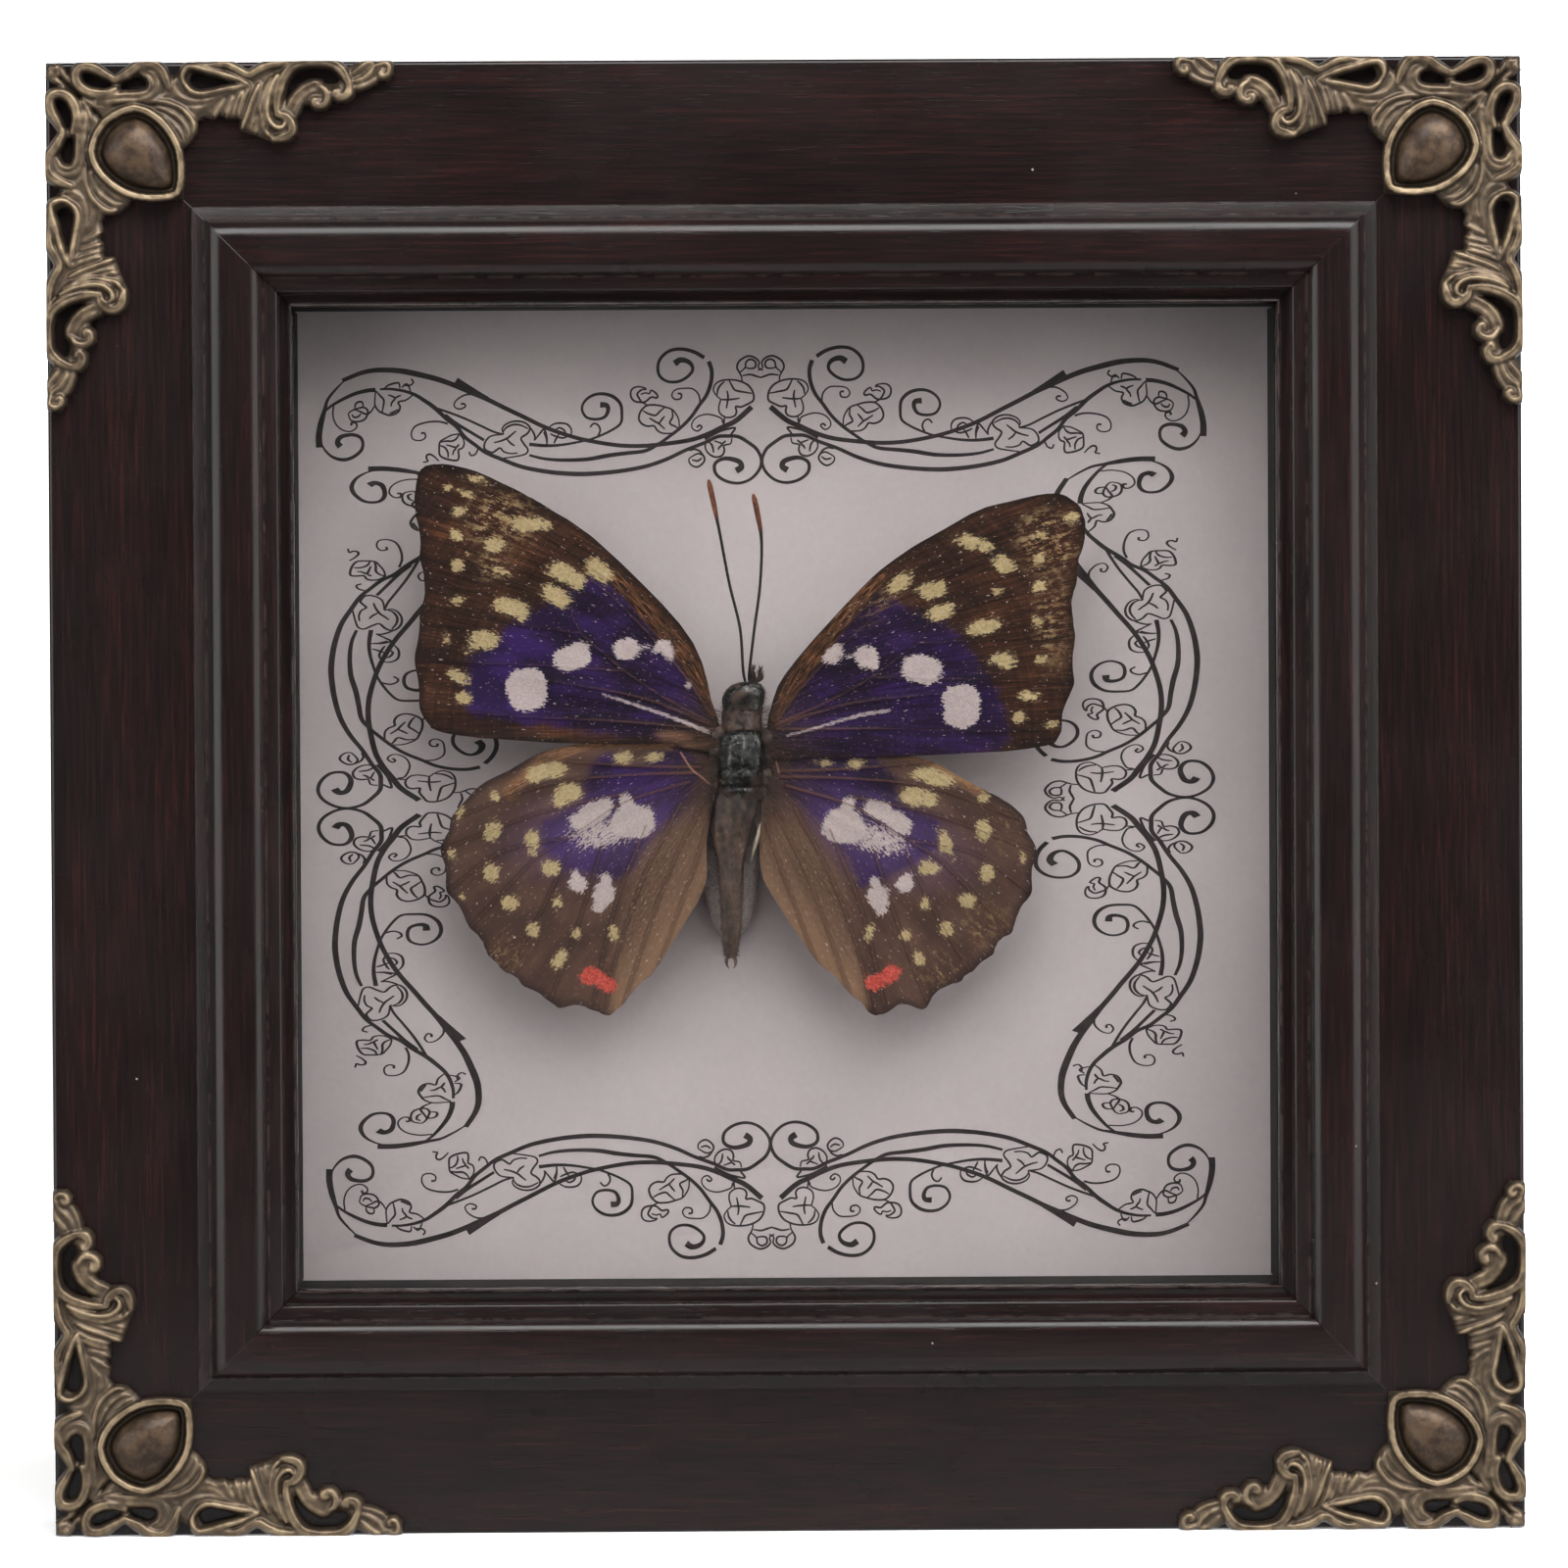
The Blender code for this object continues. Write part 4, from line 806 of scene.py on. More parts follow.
# The flower heads and leaves, drawn with one fine line.
FINE_LINE = (0.20, 0.29, 0.29, 0.20)
PETALS = [
    [(-56.1, 155.9), (-56.2, 154.9), (-56.2, 153.9), (-55.7, 153.1), (-54.9, 152.7), (-54.2, 152.5),
     (-53.4, 152.7),
     (-52.9, 153.1), (-52.75, 153.7), (-53.0, 154.3), (-52.0, 154.55), (-51.3, 155.0), (-51.0, 155.3)],
    [(-56.0, 155.8), (-55.5, 155.2), (-55.0, 154.6), (-55.05, 153.8), (-55.25, 152.9)],
    [(-54.2, 152.75), (-53.6, 152.95), (-53.0, 153.3)],
    [(-54.4, 155.3), (-53.8, 155.1), (-53.45, 154.8), (-53.9, 154.2), (-54.0, 153.7)],
    [(-52.6, 155.25), (-53.1, 155.05), (-53.5, 154.8)],
    [(-54.9, 156.2), (-54.4, 156.6), (-53.5, 156.9), (-52.9, 156.9), (-52.75, 156.2)],
    [(-52.5, 156.3), (-52.0, 156.75), (-51.6, 156.6), (-51.3, 155.8)],
    [(-59.9, 152.7), (-59.5, 153.1), (-58.75, 153.4), (-57.85, 153.6), (-57.25, 153.25), (-57.25, 152.6),
     (-57.6, 152.0), (-58.2, 151.7), (-59.0, 151.65), (-59.6, 151.9), (-59.9, 152.7)],
    [(-59.0, 153.4), (-58.9, 154.0), (-58.5, 154.35), (-57.95, 154.3), (-57.85, 153.6)],
    [(-59.0, 153.3), (-58.2, 153.0), (-57.7, 152.75), (-57.2, 152.7), (-56.7, 153.1), (-56.25, 153.8)],
    [(-59.4, 152.65), (-59.1, 152.25), (-58.5, 152.35), (-58.15, 152.75)],
    [(-38.5, 149.8), (-39.95, 149.65), (-40.65, 149.3), (-41.1, 148.65), (-41.2, 148.0), (-40.9, 147.6),
     (-40.1, 147.3), (-39.55, 147.6), (-39.0, 147.9), (-38.5, 147.4), (-37.6, 147.15), (-36.6, 147.2)],
    [(-38.5, 149.8), (-38.7, 150.5), (-38.3, 151.1), (-37.45, 151.5), (-36.55, 151.6), (-35.65, 151.4),
     (-34.95, 150.85), (-34.95, 150.3), (-35.35, 149.8), (-36.1, 149.25), (-35.75, 148.5), (-35.2, 147.75),
     (-35.3, 147.25), (-35.8, 146.95), (-37.1, 146.7), (-38.5, 146.5)],
    [(-38.6, 150.1), (-38.15, 150.7), (-37.25, 151.1), (-36.2, 151.05), (-35.1, 150.55)],
    [(-35.0, 150.9), (-34.5, 150.2), (-34.2, 149.45), (-34.3, 148.9)],
    [(-39.85, 148.65), (-38.85, 148.9), (-37.95, 149.3), (-37.35, 149.8), (-36.8, 150.25)],
    [(-38.1, 149.2), (-37.6, 148.6), (-37.0, 148.2)],
    [(-34.2, 149.0), (-33.5, 149.9), (-32.95, 150.45), (-32.6, 149.65), (-32.5, 148.9)],
    [(-9.1, 154.9), (-9.55, 155.6), (-9.5, 156.15), (-9.15, 156.7), (-8.4, 157.05), (-7.35, 157.15),
     (-6.3, 157.05),
     (-5.4, 156.75), (-4.7, 156.3), (-4.2, 155.6), (-4.0, 154.8), (-4.15, 154.2), (-4.85, 153.8),
     (-5.75, 153.4),
     (-6.5, 153.45), (-6.4, 152.75), (-6.65, 152.2), (-7.35, 151.95), (-8.05, 152.05), (-8.7, 152.55),
     (-8.85, 153.3), (-8.7, 154.0), (-8.6, 154.45), (-9.1, 154.9)],
    [(-9.05, 155.05), (-8.95, 155.8), (-8.6, 156.4), (-8.05, 156.9)],
    [(-7.4, 157.1), (-7.0, 156.3), (-6.55, 155.7), (-5.4, 155.45), (-4.25, 155.25)],
    [(-7.7, 155.65), (-7.55, 154.7), (-7.8, 153.2)],
    [(-8.6, 154.45), (-7.8, 154.4), (-7.0, 154.45), (-5.95, 154.6)],
    [(-8.05, 151.95), (-8.15, 151.3), (-8.25, 150.8)],
    [(-5.6, 156.85), (-5.7, 157.6), (-5.95, 158.1), (-6.3, 158.8), (-6.1, 159.55), (-5.55, 160.05),
     (-4.7, 160.4),
     (-3.8, 160.15), (-3.25, 159.55), (-3.35, 158.8), (-2.7, 158.4)],
    [(-5.9, 158.15), (-5.2, 158.8), (-5.05, 159.55), (-4.5, 159.95), (-3.85, 159.7), (-3.7, 159.2),
     (-3.95, 158.75),
     (-4.7, 158.7), (-5.2, 158.85)],
    [(-5.55, 157.7), (-4.5, 157.85), (-3.6, 157.6), (-2.9, 157.4)],
    [(-10.5, 148.9), (-10.75, 147.95), (-10.45, 147.2), (-9.85, 146.7), (-9.15, 146.5), (-8.4, 146.75),
     (-8.1, 147.4),
     (-8.15, 148.1), (-7.25, 148.35), (-7.05, 149.1)],
    [(-10.45, 148.8), (-9.85, 148.2), (-9.65, 147.55), (-9.6, 147.1)],
    [(-9.5, 148.75), (-8.4, 148.3), (-8.8, 147.85), (-8.95, 147.5)],
    [(-8.4, 148.3), (-7.9, 148.75)],
    [(-13.0, 146.3), (-12.35, 146.75), (-11.65, 147.0), (-11.0, 146.7), (-10.85, 146.05), (-11.3, 145.45),
     (-11.9, 145.15), (-12.55, 145.35), (-12.95, 145.8), (-13.0, 146.3)],
    [(-12.6, 146.15), (-11.8, 146.0), (-11.2, 146.4)],
    [(-12.9, 147.4), (-12.2, 147.6), (-11.45, 147.3), (-10.9, 146.6)],
    [(-44.65, 149.9), (-45.7, 149.7), (-46.7, 149.2), (-47.3, 148.75), (-47.4, 147.75), (-47.3, 146.95),
     (-46.6, 146.5), (-45.55, 146.25), (-44.85, 146.3), (-44.7, 146.85), (-44.75, 147.65), (-44.2, 147.95),
     (-43.95, 148.55), (-44.1, 149.25), (-44.65, 149.9)],
    [(-47.3, 148.75), (-46.45, 148.9), (-45.6, 148.9), (-45.0, 149.25), (-44.65, 149.85)],
    [(-47.3, 148.3), (-46.6, 148.0), (-46.2, 147.3), (-46.2, 146.6)],
    [(-46.45, 148.4), (-45.6, 148.15), (-45.1, 147.95), (-45.4, 147.5), (-45.55, 146.95)],
    [(-44.65, 148.45), (-45.1, 147.95)],
    [(-49.65, 146.0), (-48.95, 146.15), (-49.15, 146.5), (-49.1, 146.95), (-48.65, 147.1), (-48.05, 146.75),
     (-47.45, 146.15)],
    [(-18.8, 155.85), (-19.05, 156.1), (-19.85, 156.25), (-20.55, 156.1), (-20.95, 155.6), (-20.9, 154.8),
     (-20.4, 154.25), (-19.4, 154.1), (-18.85, 154.25), (-18.15, 154.8), (-17.45, 154.7), (-17.25, 154.95),
     (-17.55, 155.4), (-18.15, 155.75), (-18.4, 155.3), (-18.95, 155.4), (-19.6, 155.2)],
    [(-18.6, 153.7), (-19.4, 154.1), (-19.85, 154.7), (-20.05, 155.3), (-19.4, 155.85), (-18.8, 155.85)],
    [(-14.3, 150.5), (-14.35, 151.6), (-14.7, 152.4), (-15.3, 153.1), (-16.3, 153.45), (-17.35, 153.7),
     (-18.6, 153.7), (-19.3, 153.25), (-19.75, 152.55), (-19.85, 151.75), (-19.4, 151.1), (-18.6, 150.8),
     (-17.8, 150.85), (-17.35, 150.25), (-16.65, 149.85), (-15.55, 149.8), (-14.85, 149.95), (-14.3, 150.5)],
    [(-19.3, 152.95), (-18.6, 152.55), (-17.6, 152.3), (-17.0, 152.8), (-16.3, 153.4)],
    [(-15.3, 153.0), (-15.2, 152.1), (-15.6, 151.2), (-14.85, 150.75), (-14.3, 150.4)],
    [(-18.45, 151.95), (-17.55, 151.4), (-17.1, 151.15), (-16.3, 150.4)],
    [(-16.3, 152.2), (-16.75, 151.65), (-17.1, 151.15)],
    [(-32.2, 150.8), (-31.5, 151.2), (-30.6, 151.3), (-29.7, 151.1), (-29.2, 150.45), (-29.2, 149.7)],
    [(-31.3, 150.45), (-30.8, 150.65), (-30.15, 150.3), (-29.9, 149.65)],
    [(-32.1, 149.85), (-31.5, 149.55), (-30.4, 149.25), (-29.55, 149.5)],
    [(-30.9, 149.75), (-31.3, 149.1), (-31.6, 148.5)],
    [(-33.0, 150.1), (-32.6, 149.2), (-32.55, 148.4)],
]
# The ink stands off the card. Each stroke gets its own height, so that no two lie in one plane.
INK_LIFT = 0.03
LIFT_STEP, LIFT_RANGE = 0.0013, 0.012


def brush(widths, points, steps=6):
    """A flat stroke through the points, with its width running through the widths."""
    line = spline(points, steps)
    span = np.gradient(line, axis=0)
    span /= np.linalg.norm(span, axis=1, keepdims=True)
    across = np.stack([-span[:, 1], span[:, 0]], axis=1)
    along, stops = np.linspace(0, 1, len(line)), np.linspace(0, 1, len(widths))
    width = np.interp(along, stops, widths)[:, None]
    sides = [line + across * width / 2, line - across * width / 2]
    outline = np.stack(sides, axis=1).reshape(-1, 2)
    quads = [(2 * i, 2 * i + 2, 2 * i + 3, 2 * i + 1) for i in range(len(line) - 1)]
    return outline, quads


def print_places():
    """How the motif goes to each of its eight places round the print's centre."""
    across = np.array([[0.0, -SIDE_GROW], [-SIDE_SHRINK, 0.0]])
    corner = np.array([SIDE_EDGE + SIDE_GROW * MOTIF_EDGE, 0.0])
    for sign_x in (1, -1):
        for sign_z in (1, -1):
            flip = np.diag([sign_x, sign_z]).astype(float)
            yield flip, np.zeros(2)
            yield flip @ across, flip @ corner


def build_print(material):
    """The motif's strokes as flat ink, in its eight places."""
    strokes = [brush(widths, points) for widths, points in STROKES]
    strokes += [brush(FINE_LINE, points, 4) for points in PETALS]
    centre = np.array(PRINT_CENTRE)
    turn = np.array(Matrix.Rotation(PRINT_TURN, 2))
    points, faces = [], []
    lift = 0.0
    for change, shift in print_places():
        flipped = np.linalg.det(change) < 0
        for outline, quads in strokes:
            local = (outline - centre) @ turn @ change.T + shift
            placed = centre + local @ turn.T
            lift = (lift + LIFT_STEP) % LIFT_RANGE
            start = sum(map(len, points))
            points.append(upright(placed, CARD_Y - INK_LIFT - lift))
            for quad in quads:
                corners = [start + k for k in quad]
                faces.append(corners[::-1] if flipped else corners)
    mesh_piece("card_print", np.concatenate(points), faces, material, "printed_card")


def ink_material():
    ink = Finish("print_ink", Roughness=0.7, Specular_IOR_Level=0.25)
    wash = ink.noise(ink.place(), 900.0, 4.0)
    ink.set("Base Color", ink.ramp(wash, (0.3, srgb(50, 40, 42)), (0.7, srgb(68, 57, 58))))
    ink.bump(wash, 0.01)
    return ink.material


def card_material():
    """Thick paper: fine fibre, faint clouding and a few printed specks."""
    card = Finish("pale_card", Roughness=0.85, Specular_IOR_Level=0.2)
    fibre = card.noise(card.place(), 1500.0, 3.0)
    cloud = card.noise(card.place(), 28.0, 3.0)
    tone = card.total((fibre, 0.35), (cloud, 0.65))
    colour = card.ramp(tone, (0.3, srgb(203, 189, 190)), (0.7, srgb(217, 204, 204)))
    speck = card.band(card.cells(card.place(), 140.0), 0.025, 0.045, 1.0, 0.0)
    few = card.band(card.noise(card.place(), 90.0, 1.0), 0.62, 0.66)
    card.set("Base Color", card.mix(card.times(speck, few), colour, srgb(120, 108, 108)))
    card.bump(fibre, 0.02)
    return card.material


# ---------------------------------------------------------------- glass and box

def glass_material():
    glass = Finish("picture_glass", Roughness=0.0, IOR=1.5, Transmission_Weight=1.0)
    glass.set("Base Color", (0.97, 0.985, 0.98))
    return glass.material


def build_box():
    dress("glass_pane", glass_material())
    dress("backing_card", card_material())
    build_print(ink_material())


# ---------------------------------------------------------------- wings

# Markings, in millimetres in the frame's own X and Z. A spot: its centre, width, height and tilt.
LEFT_MARKS = {
    "fore_cream": [
        (-35.0, 137.3, 4.6, 1.9, -2), (-32.8, 137.2, 1.6, 1.2, 0), (-39.9, 134.5, 2.5, 2.1, 10),
        (-38.8, 130.8, 1.7, 0.8, -15), (-30.5, 130.6, 4.3, 2.3, -24), (-28.6, 129.6, 2.4, 2.0, -20),
        (-25.4, 131.0, 3.8, 2.4, -42), (-31.2, 127.5, 4.0, 2.2, -24), (-37.4, 126.0, 4.4, 2.2, -14),
        (-36.2, 125.0, 1.6, 1.0, -60), (-41.0, 121.6, 3.9, 2.3, 8), (-42.3, 120.7, 2.2, 1.0, 20),
        (-42.4, 143.5, 2.0, 0.8, -12), (-43.6, 141.6, 2.0, 0.7, -18), (-44.4, 139.2, 1.7, 1.2, 10),
        (-45.1, 135.8, 1.5, 1.2, 0), (-44.6, 131.8, 1.5, 1.5, 20), (-44.9, 127.0, 1.5, 1.2, 10),
        (-46.3, 121.8, 0.8, 1.2, 10), (-44.6, 116.6, 2.4, 1.5, -20), (-44.0, 113.6, 2.0, 1.3, 0),
        (-46.1, 142.4, 0.7, 0.5, 0), (-43.3, 133.2, 0.4, 0.4, 0),
    ],
    "fore_white": [
        (-35.4, 114.7, 5.6, 5.9, 0), (-29.4, 119.0, 4.8, 3.4, 18), (-28.2, 119.5, 3.2, 3.4, 10),
        (-21.7, 120.2, 3.5, 3.0, 0), (-19.6, 120.4, 2.4, 0.5, 8), (-17.2, 120.4, 2.0, 1.5, 30),
        (-16.2, 120.0, 1.6, 2.7, 24), (-13.3, 115.2, 0.7, 0.8, 0),
    ],
    "fore_streak": [(-25.0, 114.0), (-20.8, 112.6), (-15.6, 110.8), (-10.6, 108.8)],
    "fore_purple": [
        (-28.3, 129.3), (-33.0, 126.2), (-38.0, 123.2), (-41.3, 120.4), (-43.2, 118.3), (-43.5, 113.8),
        (-42.0, 111.2), (-30.0, 109.6), (-20.0, 108.0), (-11.0, 109.2), (-12.2, 115.0), (-15.4, 120.6),
        (-20.5, 126.0), (-25.0, 129.6),
    ],
    "fore_gold": [
        (-26.4, 132.6), (-22.6, 129.2), (-18.2, 124.4), (-15.0, 120.8), (-12.7, 117.6), (-10.9, 114.4),
        (-9.7, 111.3),
    ],
    "fore_worn": [(-39.2, 138.0, 9.0, 7.5, -10), (-40.0, 132.0, 4.0, 4.0, 0)],
    "hind_cream": [
        (-33.6, 103.3, 3.8, 2.3, 12), (-31.4, 103.8, 2.4, 1.9, 10), (-30.0, 100.4, 3.6, 2.4, 12),
        (-31.0, 99.3, 1.8, 1.6, 0), (-22.4, 105.2, 2.2, 1.7, 0), (-18.0, 105.4, 2.0, 1.1, 0),
        (-39.9, 100.1, 1.3, 1.3, 0), (-44.6, 97.8, 0.7, 1.3, -30), (-40.2, 95.4, 1.9, 2.8, -20),
        (-45.9, 92.0, 0.8, 0.9, 0), (-34.7, 94.2, 1.8, 2.4, -10), (-35.0, 92.4, 1.0, 0.9, 0),
        (-40.4, 89.8, 2.0, 2.5, 0), (-32.2, 90.3, 2.4, 2.0, 20), (-37.8, 85.6, 2.1, 1.9, 0),
        (-31.5, 85.5, 1.3, 1.7, 0), (-34.7, 81.8, 1.7, 1.9, 0), (-28.9, 81.2, 1.0, 1.2, 0),
        (-23.6, 81.2, 1.1, 2.0, 15), (-31.2, 77.7, 1.8, 2.4, -30), (-44.4, 86.6, 0.6, 0.6, 0),
    ],
    "fore_web": [(-12.0, 107.4, 6.0, 2.2, -4)],
    "fore_tan": [(-14.6, 108.2, 4.6, 1.5, -4), (-12.2, 107.0, 3.4, 1.0, 0)],
    "hind_rim": [(-38.0, 100.6), (-33.6, 104.4), (-28.4, 106.8), (-22.0, 107.6), (-16.0, 107.2)],
    # A pale vein at the root, with a painted highlight along it: its line.
    "hind_pale_vein_glint": [(-14.4, 106.0), (-12.9, 103.7), (-11.4, 102.5), (-10.6, 101.7)],
    "hind_white": [
        (-28.6, 88.0, 2.5, 2.1, -25), (-28.9, 89.2, 1.2, 1.6, 20), (-25.0, 86.6, 3.0, 3.4, -12),
        (-24.8, 88.4, 1.6, 2.0, 0), (-25.6, 85.0, 1.8, 1.6, 0), (-20.8, 96.6, 5.8, 4.6, 0),
        (-21.6, 98.6, 2.0, 3.4, 20), (-26.7, 97.6, 6.4, 2.7, 27), (-25.0, 98.7, 3.0, 2.2, 20),
    ],
    "hind_dust": [(-25.2, 94.9, 8.6, 3.8, 8)],
    "hind_red": [(-26.6, 75.3, 3.4, 2.5, -10), (-24.6, 74.2, 2.4, 2.0, -20)],
    "hind_purple": [
        (-33.0, 96.6), (-33.0, 93.2), (-30.6, 90.2), (-27.4, 89.4), (-24.6, 88.6), (-21.2, 90.0),
        (-19.2, 93.6),
        (-15.0, 98.0), (-12.4, 101.4), (-12.2, 104.6), (-14.2, 106.8), (-17.4, 106.9), (-18.6, 104.6),
        (-21.4, 104.2),
        (-24.0, 106.0), (-26.4, 104.4), (-27.6, 101.9), (-27.8, 99.0),
    ],
    "hind_fold": [
        (-9.6, 98.8), (-14.0, 97.0), (-19.0, 93.0), (-22.0, 86.0), (-23.4, 78.5), (-24.2, 70.2),
        (-20.0, 72.0),
        (-9.0, 88.0),
    ],
    "hind_worn": [(-38.5, 78.5, 6.0, 4.0, 0)],
}
RIGHT_MARKS = {
    "fore_cream": [
        (25.4, 134.6, 4.0, 1.7, -8), (27.2, 134.0, 2.0, 1.2, -20), (29.9, 131.6, 2.9, 2.0, -20),
        (15.7, 129.0, 3.6, 1.9, 34), (20.2, 128.0, 3.8, 2.1, 8), (21.3, 125.0, 3.6, 1.8, 16),
        (27.2, 123.0, 4.0, 1.8, 12), (29.9, 118.4, 3.1, 2.0, 0), (29.0, 127.9, 1.0, 0.8, 0),
        (34.4, 123.7, 1.1, 1.3, 0), (35.0, 118.4, 1.1, 1.2, 0), (33.3, 113.5, 2.3, 1.2, 0),
        (32.0, 110.6, 1.7, 1.2, 0), (34.8, 128.4, 1.6, 1.6, 0), (34.9, 132.2, 1.4, 1.2, 0),
        (39.2, 137.9, 1.6, 1.2, 0),
        (35.0, 135.6, 1.2, 0.9, 0), (36.4, 109.6, 1.2, 0.9, 0),
    ],
    "fore_white": [
        (18.7, 117.2, 5.5, 3.9, -10), (24.1, 112.9, 5.1, 4.3, 0), (24.0, 111.0, 4.7, 3.9, 0),
        (6.8, 119.6, 2.4, 1.8, 40), (6.3, 118.8, 2.6, 1.5, 10), (8.9, 119.1, 1.7, 0.35, 0),
        (11.2, 118.9, 3.3, 2.9, -30),
        (11.9, 117.8, 1.5, 1.1, 0),
    ],
    "fore_streak": [(0.2, 108.2), (5.0, 109.5), (10.0, 110.9), (14.2, 111.6)],
    "fore_purple": [
        (12.6, 127.2), (18.0, 125.0), (22.5, 123.0), (26.6, 118.0), (29.6, 112.5), (29.2, 106.4),
        (14.0, 105.4),
        (3.0, 105.8), (-1.6, 107.6), (0.6, 113.0), (5.0, 119.2), (9.5, 124.4),
    ],
    "fore_gold": [(14.0, 130.6), (9.6, 126.2), (5.0, 120.6), (1.0, 115.2), (-1.6, 110.4)],
    "fore_worn": [(36.0, 134.6, 8.0, 9.0, 0), (36.4, 124.0, 4.0, 12.0, 0), (13.0, 126.0, 4.0, 1.6, 38)],
    "hind_cream": [
        (20.4, 102.4, 5.2, 2.1, -14), (18.4, 102.9, 2.0, 1.4, 0), (17.4, 99.8, 3.4, 2.5, -10),
        (19.6, 99.4, 2.4, 1.9, 0),
        (9.7, 104.3, 2.0, 1.1, 0), (5.3, 104.5, 1.5, 0.7, 0), (27.0, 99.5, 1.2, 1.4, -15),
        (27.1, 95.0, 2.1, 2.5, 15), (32.5, 91.3, 0.7, 1.0, 0), (21.8, 93.3, 1.5, 3.4, 20),
        (19.6, 90.0, 2.4, 1.9, -15), (27.5, 89.3, 1.7, 2.3, 0), (24.8, 85.5, 2.0, 1.9, 0),
        (18.9, 85.1, 1.2, 1.6, 0),
        (21.8, 81.5, 1.8, 1.7, 0), (16.3, 80.8, 1.0, 1.4, 0), (11.3, 81.2, 1.1, 1.8, -10),
        (18.1, 77.6, 1.5, 1.6, 0),
    ],
    "fore_web": [(-0.4, 106.2, 5.6, 2.6, 0)],
    "fore_tan": [],
    "hind_rim": [(4.0, 106.4), (9.0, 106.8), (15.4, 106.2), (21.0, 104.0), (26.4, 100.8)],
    # A short pale vein at the root, with a painted highlight along it: its line.
    "hind_pale_vein_glint": [(-1.3, 104.6), (-0.9, 103.0)],
    "hind_white": [
        (16.2, 87.8, 2.3, 2.3, 30), (16.6, 88.6, 1.3, 1.8, -20), (12.6, 86.0, 3.0, 3.4, 10),
        (12.2, 87.9, 1.4, 1.8, 0), (13.0, 84.4, 1.6, 1.6, 0), (7.8, 95.8, 5.6, 4.8, 0),
        (8.4, 98.2, 1.8, 3.2, -20),
        (12.8, 97.9, 4.2, 2.6, -24), (15.2, 96.4, 4.4, 2.5, -32),
    ],
    "hind_dust": [(12.4, 94.0, 8.6, 3.8, -14)],
    "hind_red": [(12.2, 74.4, 3.0, 2.3, 10), (14.2, 75.4, 2.9, 2.4, 20)],
    "hind_purple": [
        (-0.6, 102.8), (0.8, 105.2), (4.0, 105.8), (8.0, 105.6), (12.0, 105.0), (14.6, 102.6),
        (16.0, 98.6), (20.6, 96.6), (20.8, 93.4), (18.0, 90.8),
        (14.6, 89.2), (10.4, 87.4), (8.6, 91.0), (6.0, 94.4), (2.4, 98.4), (0.2, 100.6),
    ],
    "hind_fold": [
        (-4.4, 99.0), (-0.4, 99.4), (4.0, 94.6), (7.6, 88.0), (9.4, 80.0), (10.8, 70.2), (5.0, 74.0),
        (-5.2, 89.0),
    ],
    "hind_worn": [(27.0, 82.0, 8.0, 5.0, 40), (21.0, 76.0, 6.0, 4.0, 0), (30.0, 95.0, 3.0, 5.0, 0)],
}
# Veins as they run on the left forewing and on the right hindwing. The other pair is mirrored.
FOREWING_VEINS = [
    [(-9.6, 111.0), (-12.5, 117.5), (-17.5, 123.5), (-24.0, 129.6), (-33.0, 136.0), (-46.0, 144.2)],
    [(-9.8, 110.5), (-14.0, 116.8), (-20.5, 124.2), (-26.5, 129.6), (-36.0, 134.2), (-50.0, 140.5)],
    [(-9.6, 109.8), (-16.0, 113.2), (-22.0, 117.2), (-28.0, 122.4)],
    [(-26.5, 129.6), (-29.2, 125.8), (-28.0, 122.4)],
    [(-29.2, 125.8), (-38.0, 129.4), (-50.0, 132.8)], [(-28.0, 122.4), (-38.0, 123.8), (-50.0, 125.2)],
    [(-22.0, 117.2), (-33.0, 118.0), (-50.0, 118.8)], [(-9.6, 109.5), (-20.0, 113.6), (-34.0, 116.2)],
    [(-9.8, 109.2), (-24.0, 110.4), (-38.0, 111.2), (-50.0, 112.4)], [(-30.0, 131.2), (-40.0, 136.8),
     (-50.0, 139.0)],
]
HINDWING_VEINS = [
    [(-1.5, 103.4), (8.0, 103.6), (20.0, 104.6)], [(-1.0, 102.6), (9.0, 102.3), (20.0, 101.0), (32.0, 96.6)],
    [(0.0, 101.4), (9.0, 98.6), (14.5, 95.2), (21.0, 91.2)], [(9.0, 99.8), (20.0, 97.4), (33.6, 92.4)],
    [(17.0, 93.8), (26.0, 91.8), (33.2, 86.6)], [(21.0, 91.2), (27.0, 85.0), (30.6, 81.0)],
    [(16.5, 92.0), (20.5, 83.6), (25.0, 76.0)], [(12.0, 92.6), (15.0, 83.0), (19.2, 71.6)],
    [(6.0, 95.4), (10.4, 84.0), (13.4, 71.0)], [(1.2, 98.4), (6.2, 88.6), (10.0, 78.0), (11.6, 70.6)],
    [(-1.4, 97.6), (3.2, 88.2), (9.2, 71.0)], [(-2.6, 96.0), (0.0, 88.0), (5.6, 73.0)],
]
# The distance, in millimetres, that is given where a marking is too far off to matter.
FAR = 9.0
WING_PITCH = 0.26
WING_HALF_THICK = 0.06
# The reach from the root, in millimetres, at which a wing is fully cambered and its veins are low.
FULL_REACH = 45
CAMBER_DEPTH = 0.35
SAG_DEPTH = 0.08
# Waves across the whole wing, as turns of its bearing, and pleats across the folded inner edge.
RIPPLES, RIPPLE_DEPTH = 38.0, 0.05
PLEATS, PLEAT_DEPTH = 1.9, 0.04
VEIN_RISE = 0.09
# How bright the violet is painted on the right wings, against 1 on the left: painted sheen of the iridescent
# scales, not a change in their colour.
PAINTED_SHEEN_OF_RIGHT_WINGS = 0.35
# How far from the root the margin starts to be scalloped between the veins, and how deep, in millimetres.
SCALLOPS = {"fore_": (33.0, 0.35), "hind_": (24.0, 0.7)}


